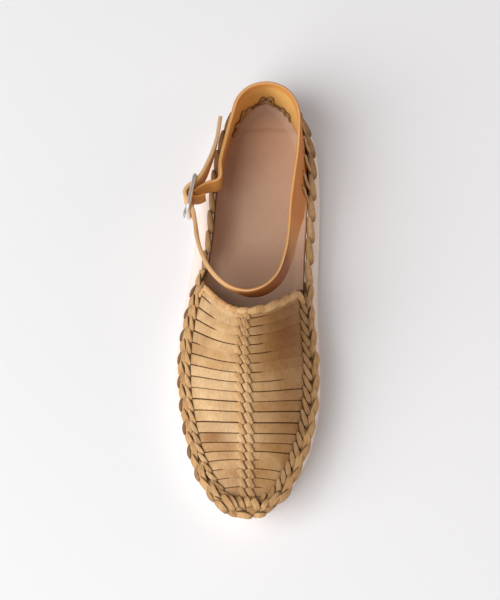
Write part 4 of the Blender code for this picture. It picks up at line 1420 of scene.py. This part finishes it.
@dataclass
class RimBraid:
    """The thong work on the rim: a plait on each side and whipped leaves round the heel."""

    plan: Plan
    finishes: Finishes
    flat: ThongTree
    oval: ThongTree
    seed: int = 11
    inset: float = 2.7
    lateral_shift: float = 0.9
    lift: float = 2.95
    tilt: float = math.radians(32)
    lobe_pitch: float = 13.0
    spread: float = 1.9
    dive: float = 1.1
    cord_drop: float = 1.9
    linger: float = 0.45
    lag: float = 0.32
    turn_length: float = 7.6
    turn_reach: tuple[float, float] = (-1.25, -2.9)
    turn_lift: float = 1.0
    strand: tuple[float, float] = (4.0, 1.4)
    stray: tuple[float, float, float] = (0.22, 0.12, 0.3)
    face_turn: float = 0.6
    thinned: float = 0.78
    swelling: float = 0.3
    shaded: float = 0.32
    tone: float = 0.1
    cord: tuple[float, float] = (4.0, 2.2)
    # Painted shade: the cord is darkened to show as dark gaps between the strands
    cord_shade: float = 0.9
    starts: dict[Side, float] = field(
        default_factory=lambda: {Side.LATERAL: 12.0, Side.MEDIAL: 6.0}
    )
    whip: Leaf = Leaf(
        (4.8, 1.7), slant=2.8, dip=1.2, point=0.5, blunt=0.18, overlap=0.12, lean=0.0, shadow=0.28
    )
    whip_pitch: float = 12.5
    whip_lift: float = 0.72
    whip_scale: dict[Side, float] = field(
        default_factory=lambda: {Side.LATERAL: 0.8, Side.MEDIAL: 1.0}
    )
    # Darker towards the heel: on the lateral side painted shade between the tail and the band
    whip_darkening: dict[Side, tuple[float, float]] = field(
        default_factory=lambda: {Side.LATERAL: (0.55, 0.95), Side.MEDIAL: (0.0, 0.35)}
    )
    tip_leaf: tuple[float, float] = (3.6, 1.7)
    steepness: float = 4.5
    points: int = 420
    cord_points: int = 160
    whip_points: int = 360
    leaf_points: int = 26
    tuck_points: int = 24

    def build(self) -> None:
        """Builds and dresses the braid."""
        chance = np.random.default_rng(self.seed)
        plaits = [strand for side in Side for strand in self._plait(side, chance)]
        cords = [self._cord(side) for side in Side]
        parts = (
            ("rim_plait", self.flat, plaits, self.strand),
            ("plait_cords", self.oval, cords, self.cord),
            ("heel_whip", self.oval, self._whip(chance), self.whip.size),
            ("toe_tuck", self.flat, self._tuck(), self.tip_leaf),
        )
        for name, tree, thongs, size in parts:
            piece = tree.lay(name, thongs, size, self.finishes["thong"], self.steepness)
            keep(piece, "rim_braid")

    def _start(self, side: Side) -> float:
        """The station where one side's plait starts."""
        return float(self.plan.station(np.array([self.starts[side]]), side, self.inset)[0])

    def _rails(
        self, t: np.ndarray, scale: np.ndarray
    ) -> tuple[np.ndarray, np.ndarray, np.ndarray, np.ndarray]:
        """The braid's middle line, its wide and thick ways, and the length travelled.

        Args:
            t: Stations on the outline, in the braid's order.
            scale: Size of the braid at each.

        Returns:
            Middle points, wide ways, thick ways and lengths.
        """
        inwards = self.plan.inwards(t)
        lateral = np.clip(inwards[:, 0], 0.0, 1.0) * np.interp(self.plan.y(t), (-105, -80), (0, 1))
        inset = self.inset + self.lateral_shift * lateral
        middle = self.plan.point(t, inset, self.plan.rim(t) + self.lift * scale)
        wide = inwards * math.cos(self.tilt) + UP * math.sin(self.tilt)
        thick = UP * math.cos(self.tilt) - inwards * math.sin(self.tilt)
        return middle, wide, thick, lengths(middle)

    def _plait(self, side: Side, chance: np.random.Generator) -> list[Thong]:
        """The three-strand plait of one side, from its start to the toe's tip.

        Args:
            side: Its side of the shoe.
            chance: Source of small differences between strands.

        Returns:
            Its three strands, with their turned backs on the lateral side.
        """
        t = np.linspace(self._start(side), self.plan.toe, self.points)
        scale = np.interp(self.plan.y(t), (-140.0, -12.0, 12.0), (1.0, 1.0, 0.86))
        middle, wide, thick, travel = self._rails(t, scale)
        strands = []
        for number in range(3):
            raw = 2 * np.pi * (travel / (3 * self.lobe_pitch) + number / 3)
            angle = raw - self.linger / 2 * (np.cos(2 * raw) - 1)
            on_top = -np.sin(2 * angle)
            place = np.sin(angle + self.lag)
            out = self.spread * scale * place
            over = self.dive * scale * on_top
            lobes = np.arange(0.0, travel[-1] + self.lobe_pitch, self.lobe_pitch / 2)
            aside, lift, tone = (
                np.interp(travel, lobes, chance.normal(0.0, spread, len(lobes)))
                for spread in self.stray
            )
            path = middle + wide * (out + aside)[:, None] + thick * (over + lift)[:, None]
            face = thick + wide * (self.face_turn * place)[:, None]
            swell = scale * (self.thinned + self.swelling * on_top)
            # Painted shade where a strand passes under the others
            hollow = np.clip(self.shaded - on_top, 0.0, 1.0)
            strands.append(Thong(path, face, swell, self.tone + tone, hollow))
            if side is Side.LATERAL:
                rails = (middle, wide, thick)
                outermost = np.flatnonzero((place[1:-1] < place[:-2]) & (place[1:-1] < place[2:]))
                strands += [self._turned(rails, travel, travel[i + 1]) for i in outermost]
        return strands

    def _cord(self, side: Side) -> Thong:
        """The cord that a plait is worked over, darkened as painted shade in the gaps between its
        strands.
        """
        t = np.linspace(self._start(side), self.plan.toe, self.cord_points)
        middle, _, thick, _ = self._rails(t, np.ones_like(t))
        return Thong(middle - thick * self.cord_drop, thick, hollow=self.cord_shade)

    def _turned(
        self, rails: tuple[np.ndarray, np.ndarray, np.ndarray], travel: np.ndarray, at: float
    ) -> Thong:
        """A piece where a strand turns over the plait's outer edge, darkened as painted shade under
        the outer lumps.

        Args:
            rails: The plait's middle line, and its wide and thick ways.
            travel: Length travelled along it.
            at: The place of the turn.

        Returns:
            The turned piece.
        """
        share = np.linspace(0.0, 1.0, 20)
        place = at + self.turn_length * (share - 0.5)
        middle, wide, thick = (sample(rail, travel, place) for rail in rails)
        out = np.interp(share, (0.0, 1.0), self.turn_reach)
        path = middle + wide * out[:, None] + thick * self.turn_lift
        swell = lens(len(path), 0.2, 0.8, 0.8)
        # Painted shade, deeper towards the heel
        stain_and_painted_light = np.interp(path[:, 1], (-114.0, -88.0), (0.3, 0.85))
        return Thong(path, thick - 0.5 * wide, swell, 0.0, stain_and_painted_light=stain_and_painted_light)

    def _whip(self, chance: np.random.Generator) -> list[Thong]:
        """The leaves whipped over the rim round the heel, between the two plaits."""
        leaves = []
        for side, whole in ((Side.LATERAL, 0.0), (Side.MEDIAL, self.plan.count)):
            t = np.linspace(0.0, self._start(side) - whole, self.whip_points)
            middle, _, thick, travel = self._rails(t, np.full_like(t, self.whip_lift))
            count = round(travel[-1] / self.whip_pitch)
            for number in range(count):
                ends = (number - 0.04, number + 1 + self.whip.overlap)
                share = np.linspace(*ends, self.leaf_points) / count
                at = np.clip(share, 0.0, 1.0) * travel[-1]
                line, normal = (sample(rail, travel, at) for rail in (middle, thick))
                leaf = self.whip.lay(line, normal, self.whip_scale[side], chance)
                leaf.stain_and_painted_light = np.interp(line[:, 1], (56.0, 72.0), self.whip_darkening[side])
                leaves.append(leaf)
        return leaves

    def _tuck(self) -> list[Thong]:
        """The short leaves that tuck the plaits' ends in at the toe's tip."""
        thongs = []
        for first, middle, last, swell in TUCK_ROWS:
            path = through((first, middle, last), self.tuck_points)
            share = np.linspace(0.0, 1.0, len(path))
            bulge = swell * lens(len(path), 0.4, 0.6, 0.45)
            forward = np.interp(middle[1], (-125.5, -121.0), (-1.1, -0.4))
            face = np.broadcast_to((0.0, forward, 0.9), path.shape)
            # Painted shade at both ends, where the leaf tucks under
            hollow = np.clip(0.7 - 3.5 * np.minimum(share, 1 - share), 0.0, 1.0)
            thongs.append(Thong(path, face, bulge, 0.1, hollow))
        return thongs


@dataclass
class AnkleBand:
    """The one-piece band: round the heel, over the instep, through the buckle to its tail."""

    plan: Plan
    finishes: Finishes
    edge: float = 0.55
    corner_wax: float = 0.8
    side_wax: float = 0.5
    # The medial outer face takes all the wax colour, which also paints warm light reflected onto it
    medial_wax_and_warm_light: tuple[float, float] = (-4.0, 10.0)
    inner_wax: tuple[float, float] = (96.0, 80.0)
    lateral: tuple[float, float] = (-8.0, -16.0)
    rear: tuple[float, float] = (60.0, 68.0)
    pale_end: float = 0.4
    pale_tail: float = 0.9
    tail_face: float = 0.35
    tail_wear: float = 0.5
    dim_heel: float = 0.5
    # Painted shade on the band's front, which faces down, away from the light
    front_shade: float = 1.25
    laced_inset: float = 6.15
    laced_height: float = 9.8
    run_in: float = 10.0
    step: float = 1.4
    fold_row: int = 8
    fold_points: int = 60

    def build(self) -> None:
        """Builds and dresses the band."""
        top, down, out, reach, thickness = self.frames()
        half = thickness / 2
        turns = np.radians((0, 30, 60, 90))
        upper = [(self.edge * (1 - np.cos(a)), self.edge * (1 - np.sin(a))) for a in turns]
        share = np.linspace(0.0, 1.0, 7)[1:-1]
        outer = [self._at(top, down, out, drop, half - ease) for drop, ease in upper]
        for s in share:
            flat = self.edge + (reach - 2 * self.edge) * s
            outer.append(self._at(top, down, out, flat, half))
        outer += [
            self._at(top, down, out, reach - drop, half - ease) for drop, ease in upper[::-1]
        ]
        outer_face = np.stack(outer, axis=1)
        sides = np.stack([self._at(top, down, out, d, 0.0) for d in (0.0 * reach, reach)], axis=1)
        inner_face = outer_face - 2 * self._height(outer_face, top, out)
        rings = np.concatenate(
            [sides[:, :1], outer_face, sides[:, 1:], inner_face[:, ::-1]], axis=1
        )
        marks = self._marks(rings, len(outer), len(upper))
        piece = skin("ankle_strap", rings, self.finishes["band"], marks)
        keep(piece, "ankle_band")

    def _marks(self, rings: np.ndarray, face: int, corner: int) -> dict[str, np.ndarray]:
        """The band's tones: raw edges and free end, with painted highlight on each edge's crest;
        waxed corners and face, with painted warm light on the medial outer face; painted shade on the
        front;
        a worn tail, and a dimmer lateral heel.

        Args:
            rings: The band's rings: an edge, the outer face, the other edge, the inner face.
            face: Points on each face.
            corner: Points on each rounded corner of a face.

        Returns:
            An attribute's values by name.
        """
        x, y = rings[..., 0], rings[..., 1]
        outside, raw, eased = np.zeros((3, *rings.shape[:2]))
        outside[:, 1 : face + 1] = 1.0
        # The pale raw cut on each edge's crest, which also paints the highlight it catches
        raw[:, [0, face + 1]] = 1.0
        for first in (1, face + 1 - corner, face + 2, 2 * face + 2 - corner):
            eased[:, first : first + corner] = self.corner_wax
        # Painted shade on the band's front
        wear_and_painted_light = outside * self._front(x, y)
        # Wax colour on the faces, and painted warm reflected light on the medial outer face
        outer_wax_and_warm_light = np.maximum(ramp(x, *self.medial_wax_and_warm_light), self.side_wax)
        inner_wax = self.side_wax * ramp(y, *self.inner_wax)
        wax_and_warm_light = np.maximum(np.where(outside > 0, outer_wax_and_warm_light, inner_wax), eased)
        free = (np.arange(len(rings)) > np.argmin(y[:, 0]))[:, None]
        lateral = ramp(x, *self.lateral)
        rear = ramp(y, *self.rear)
        tail = np.where(raw + eased > 0, 1.0, self.tail_face) * rear * free
        pale = np.maximum(self.pale_end * lateral * free, self.pale_tail * tail)
        dim = self.dim_heel * lateral * ~free * rear
        return {
            "hollow": np.maximum(raw * (1 - dim), pale),
            "stain_and_painted_light": wax_and_warm_light * (1 - raw) * (1 - wear_and_painted_light) * (1 - pale) * (1 - dim),
            "shade": np.maximum(self.front_shade * wear_and_painted_light, dim) + self.tail_wear * tail,
        }

    @staticmethod
    def _front(x: np.ndarray, y: np.ndarray) -> np.ndarray:
        """How far a place is on the band's front, where shade is painted, from 0 to 1: most on its
        medial side.
        """
        across = np.minimum(ramp(x, -14.0, -4.0), ramp(x, 28.0, 20.0))
        return np.minimum(across, ramp(y, 36.0, 6.0))

    @staticmethod
    def _at(
        top: np.ndarray, down: np.ndarray, out: np.ndarray, drop: Any, height: Any
    ) -> np.ndarray:
        """Points below the top edge and off the middle layer."""
        return top + down * np.reshape(drop, (-1, 1)) + out * np.reshape(height, (-1, 1))

    @staticmethod
    def _height(points: np.ndarray, top: np.ndarray, out: np.ndarray) -> np.ndarray:
        """The part of each point that stands off the middle layer."""
        off = np.sum((points - top[:, None]) * out[:, None], axis=-1, keepdims=True)
        return off * out[:, None]

    def frames(self) -> tuple[np.ndarray, ...]:
        """Sections along the band.

        Returns:
            Top points, ways down, outward normals, widths and thicknesses.
        """
        places = np.array([row[:3] for row in BAND_ROWS], float)
        knots = lengths(places)
        line = [TableCurve(knots, places[:, axis]) for axis in range(3)]
        free = [width is not LACED for width in column(BAND_ROWS, BAND_COLUMNS, "width")]
        loose = [row for row, is_free in zip(BAND_ROWS, free) if is_free]
        width = TableCurve(knots[free], column(loose, BAND_COLUMNS, "width"))
        lean = TableCurve(knots[free], column(loose, BAND_COLUMNS, "lean"))
        thickness = TableCurve(knots, column(BAND_ROWS, BAND_COLUMNS, "thickness"))
        laced = knots[[not is_free for is_free in free]]
        s = np.unique(np.concatenate([knots, np.arange(0.0, knots[-1], self.step)]))
        s = np.unique(np.concatenate([s, np.linspace(0.0, knots[self.fold_row], self.fold_points)]))
        top = np.stack([part(s) for part in line], axis=-1)
        along = np.stack([part(s + 0.2) - part(s - 0.2) for part in line], axis=-1)
        along[:, 2] = 0.0
        along = unit(along)
        outwards = np.stack([-along[:, 1], along[:, 0], 0 * s], axis=-1)
        angle = np.radians(lean(s))[:, None]
        span = (outwards * np.sin(angle) - UP * np.cos(angle)) * width(s)[:, None]
        hold = self._held(s, laced)[:, None]
        span = span * (1 - hold) + (self._feet(top) - top) * hold
        normal = unit(np.cross(along, span))
        normal *= np.sign(np.sum(normal * outwards, axis=1, keepdims=True))
        return top, unit(span), normal, np.linalg.norm(span, axis=1), thickness(s)

    def _held(self, s: np.ndarray, laced: np.ndarray) -> np.ndarray:
        """How far the lower edge is held in the sole, from 0 to 1."""
        before = (s - laced[0] + self.run_in) / self.run_in
        after = (laced[-1] - s + self.run_in) / self.run_in
        return smooth(np.clip(np.minimum(before, after), 0.0, 1.0))

    def _feet(self, top: np.ndarray) -> np.ndarray:
        """Where the lower edge stands inside the sole's wall, nearest to each top point."""
        t = np.arange(0.0, self.plan.count, 1 / 64)
        feet = self.plan.point(t, self.laced_inset, self.laced_height)
        apart = np.linalg.norm(feet[None, :, :2] - top[:, None, :2], axis=-1)
        return feet[np.argmin(apart, axis=1)]


@dataclass
class Lacing:
    """The thongs that lace the band to the rim, and their knots inside the heel."""

    plan: Plan
    finishes: Finishes
    oval: ThongTree
    band: AnkleBand
    seed: int = 5
    size: tuple[float, float] = (2.6, 1.5)
    slit_size: tuple[float, float] = (0.9, 0.6)
    reach: float = 7.0
    foot_inset: float = 3.4
    foot_lift: float = 2.4
    knot_foot: tuple[float, float] = (10.0, 0.4)
    peak_lift: float = 1.0
    path_points: int = 28
    held_below: float = 12.0
    medial_from: float = 10.0
    heel_from: float = 84.0
    heel_middle: tuple[float, float, float] = (5.0, 84.0, 40.0)

    def build(self) -> None:
        """Builds and dresses the laces, the slits that they enter, and the knots."""
        chance = np.random.default_rng(self.seed)
        laces = [self._lace(y, chance) for y in LACE_PLACES]
        laces += [self._knot(row, chance) for row in KNOT_ROWS]
        piece = self.oval.lay("band_laces", laces, self.size, self.finishes["thong"], 5.0)
        keep(piece, None)
        slits = [self._slit(y) for y in LACE_PLACES]
        piece = self.oval.lay("lace_slits", slits, self.slit_size, self.finishes["backing"])
        keep(piece, None)

    def _on_face(self, y: float, share: float, lift: float) -> np.ndarray:
        """A point on the band's medial outer face.

        Args:
            y: Its place along the shoe.
            share: Share of the way down from the top edge.
            lift: Height off the face.

        Returns:
            The point.
        """
        top, down, out, reach, thickness = self.band.frames()
        held = (top + down * reach[:, None])[:, 2] < self.held_below
        medial = top[:, 0] > self.medial_from
        apart = np.where(held & medial, np.abs(top[:, 1] - y), np.inf)
        i = int(np.argmin(apart))
        point = top[i] + down[i] * share * reach[i] + out[i] * (thickness[i] / 2 + lift)
        return point + np.array((0.0, y - top[i, 1], 0.0))

    def _lace(self, y: float, chance: np.random.Generator) -> Thong:
        """One thong from its slit in the band down to the rim."""
        t = self.plan.station(np.array([y - self.reach]), Side.MEDIAL, self.foot_inset)
        foot = self.plan.point(t, self.foot_inset, self.plan.rim(t) + self.foot_lift)[0]
        # Place along the shoe, share of the way down and height off the face
        spots = ((y + 0.6, 0.52, -0.9), (y - 0.6, 0.55, 0.5), (y - 0.45 * self.reach, 0.66, 1.1))
        path = through([*(self._on_face(*spot) for spot in spots), foot], self.path_points)
        face = np.broadcast_to((0.8, 0.0, 0.6), path.shape)
        share = np.linspace(0.0, 1.0, len(path))
        swell = lens(len(path), 0.75, 0.35)
        # Painted shade at both ends, where the lace enters its slit and the rim
        hollow = np.clip(0.8 - 4.0 * np.minimum(share, 1.1 - share), 0.0, 1.0)
        return Thong(path, face, swell, chance.uniform(-0.2, 0.2), hollow)

    def _inside(self, x: float, z: float, lift: float) -> np.ndarray:
        """A point on the band's inner face round the heel.

        Args:
            x: Its place across the shoe.
            z: Its height.
            lift: Height off the face.

        Returns:
            The point.
        """
        top, down, out, _, thickness = self.band.frames()
        drop = (top[:, 2] - z) / -down[:, 2]
        face = top + down * drop[:, None] - out * (thickness / 2 + lift)[:, None]
        heel = face[face[:, 1] > self.heel_from]
        heel = heel[np.argsort(heel[:, 0])]
        return sample(heel, heel[:, 0], x)

    def _knot(self, row: Sequence[float], chance: np.random.Generator) -> Thong:
        """One loop of thong on the inner face at the heel's foot."""
        first_x, peak_x, last_x, peak_z, size = row
        foot = self.knot_foot
        spots = ((first_x, *foot), (peak_x, peak_z, self.peak_lift), (last_x, *foot))
        path = through([self._inside(*spot) for spot in spots], self.path_points)
        inwards = unit(np.array(self.heel_middle) - path[len(path) // 2])
        swell = size * lens(len(path), 0.8, 0.6)
        face = np.broadcast_to(inwards, path.shape)
        return Thong(path, face, swell, hollow=chance.uniform(0.3, 0.75))

    def _slit(self, y: float) -> Thong:
        """The slit that a lace enters: a dark swelling on the face, painted shade of the cut."""
        ends = [self._on_face(y + 2.0, 0.46, 0.0), self._on_face(y - 1.0, 0.56, 0.0)]
        path = through(ends, 10)
        swell = lens(len(path), 0.3, 0.7)
        return Thong(path, np.broadcast_to((1.0, 0.0, 0.2), path.shape), swell)


@dataclass
class Buckle:
    """The steel buckle: a frame with its centre bar, and a prong."""

    finishes: Finishes
    oval: ThongTree
    front: tuple[float, float, float] = (-33.9, 37.0, 33.0)
    rear: tuple[float, float, float] = (-30.6, 59.8, 33.0)
    height: float = 16.8
    wire: float = 1.0
    corner: float = 3.0
    bar: float = 0.8
    prong: float = 0.85
    overhang: float = 1.6
    hinge: tuple[float, float] = (-1.95, 0.4)
    hump: tuple[float, float] = (-3.9, 0.8)
    room: float = 0.3
    points: int = 40

    def build(self) -> None:
        """Builds and dresses the frame and the prong."""
        front, rear = np.array(self.front), np.array(self.rear)
        along = unit(rear - front)
        out = np.array((-along[1], along[0], 0.0))
        middle = (front + rear) / 2
        half = float(np.linalg.norm(rear - front)) / 2 - self.wire
        rise = self.height / 2 - self.wire
        angles = np.radians(np.arange(0, 91, 7.5))
        corners = ((1, 1, 0), (-1, 1, 90), (-1, -1, 180), (1, -1, 270))
        loop = []
        for side, way, start in corners:
            a = angles + math.radians(start)
            x = side * (half - self.corner) + self.corner * np.cos(a)
            z = way * (rise - self.corner) + self.corner * np.sin(a)
            loop.append(middle + along * x[:, None] + UP * z[:, None])
        ring = np.concatenate(loop)
        ends = np.linspace(-rise, rise, 12)[:, None]
        bar = middle + UP * ends
        level = np.broadcast_to(out, (len(ring), 3))
        steel = self.finishes["steel"]
        wires = [
            Thong(ring, level, closed=True),
            Thong(bar, level[: len(bar)], self.bar / self.wire),
        ]
        piece = self.oval.lay("buckle_wire", wires, (2 * self.wire, 2 * self.wire), steel)
        keep(piece, "buckle_frame")
        reach = half + self.wire
        over = self.wire + self.prong + self.room
        tip = (-reach - self.overhang, over - self.room)
        knots, heights = zip(self.hinge, self.hump, (self.wire - reach, over), tip)
        x = np.linspace(knots[0], knots[-1], self.points)
        lift = TableCurve(knots, heights)(x)
        path = middle + along * x[:, None] + out * lift[:, None]
        taper = np.interp(np.linspace(0, 1, self.points), (0.0, 0.7, 1.0), (1.0, 1.0, 0.6))
        pin = [Thong(path, np.broadcast_to(out, path.shape), taper)]
        piece = self.oval.lay("buckle_pin", pin, (2 * self.prong, 2 * self.prong), steel)
        keep(piece, "buckle_prong")


@dataclass(frozen=True)
class Lamp:
    """A square soft light that faces the shoe: place and side in millimetres, power in watts."""

    name: str
    place: tuple[float, float, float]
    side: float
    power: float
    colour: str = "#ffffff"

    def hang(self) -> None:
        """Puts the light in the scene."""
        data = bpy.data.lights.new(self.name, "AREA")
        data.energy = self.power
        data.color = linear(self.colour)[:3]
        data.size = self.side * MM
        lamp = put(self.name, data)
        lamp.location = Vector(self.place) * MM
        lamp.rotation_euler = (-Vector(self.place)).to_track_quat("-Z", "Y").to_euler()


@dataclass
class Studio:
    """The pale floor, the soft light from the left and the camera above the toe."""

    target: tuple[float, float, float] = (41.25, 3.9, 0.0)
    distance: float = 1200.0
    elevation: float = math.radians(66.5)
    heading: float = math.radians(0.9)
    pan: float = math.radians(1.983)
    lens: float = 133.4
    floor_colour: str = "#f3f3f4"
    floor_size: float = 8000.0
    floor_roughness: float = 0.9
    sky_colour: str = "#fafbff"
    sky_strength: float = 0.32
    sensor_mm: float = 36.0
    farthest: float = 20.0
    lamps: tuple[Lamp, ...] = (
        Lamp("key_window", (-1330.0, -1040.0, 1410.0), 2400.0, 65.0),
        Lamp("warm_board", (1100.0, 100.0, 420.0), 800.0, 2.0, "#ffd9b0"),
    )

    def build(self) -> None:
        """Sets up the floor, the lights and the camera."""
        self._floor()
        self._world()
        for lamp in self.lamps:
            lamp.hang()
        self._camera()
        bpy.context.scene.view_settings.view_transform = "Standard"

    def _floor(self) -> None:
        """A matt painted board, large enough to fill every view."""
        half = self.floor_size * MM / 2
        data = bpy.data.meshes.new("studio_floor")
        corners = [(-half, -half, 0.0), (half, -half, 0.0), (half, half, 0.0), (-half, half, 0.0)]
        data.from_pydata(corners, [], [(0, 1, 2, 3)])
        values = {"Base Color": linear(self.floor_colour), "Roughness": self.floor_roughness}
        paint, _ = painted("matt_white_board", values)
        data.materials.append(paint)
        floor = put("studio_floor", data)

    def _world(self) -> None:
        """An even, dim white surround."""
        world = bpy.data.worlds.new("studio_air")
        world.use_nodes = True
        sky = world.node_tree.nodes["Background"]
        sky.inputs["Color"].default_value = linear(self.sky_colour)
        sky.inputs["Strength"].default_value = self.sky_strength
        bpy.context.scene.world = world

    def _camera(self) -> None:
        """The camera at the photograph's angle, panned so that the shoe is in the middle."""
        level = Vector((-math.sin(self.heading), math.cos(self.heading), 0.0))
        straight = level * math.cos(self.elevation) - Vector(UP) * math.sin(self.elevation)
        right = Vector((level.y, -level.x, 0.0))
        place = Vector(self.target) - straight * self.distance
        ahead = straight * math.cos(self.pan) - right * math.sin(self.pan)
        across = right * math.cos(self.pan) + straight * math.sin(self.pan)
        above = across.cross(ahead)
        turn = Matrix((across, above, -ahead)).transposed().to_4x4()
        data = bpy.data.cameras.new("photo_camera")
        data.lens = self.lens
        data.sensor_width = self.sensor_mm
        data.clip_end = self.farthest
        camera = put("photo_camera", data)
        camera.matrix_world = Matrix.Translation(place * MM) @ turn
        bpy.context.scene.camera = camera


def main() -> None:
    """Builds the shoe's pieces in order, sets the studio and logs each piece's face count."""
    logging.basicConfig(level=logging.INFO, format="%(name)s %(message)s")
    plan = Plan()
    finishes = Finishes()
    flat = ThongTree(Section.FLAT)
    oval = ThongTree(Section.ROUND)
    Sole(plan, finishes).build()
    Insole(plan, finishes).build()
    Vamp(VampForm(plan), finishes, flat, oval, plan).build()
    RimBraid(plan, finishes, flat, oval).build()
    band = AnkleBand(plan, finishes)
    band.build()
    Lacing(plan, finishes, oval, band).build()
    Buckle(finishes, oval).build()
    Studio().build()


if __name__ == "__main__":
    main()
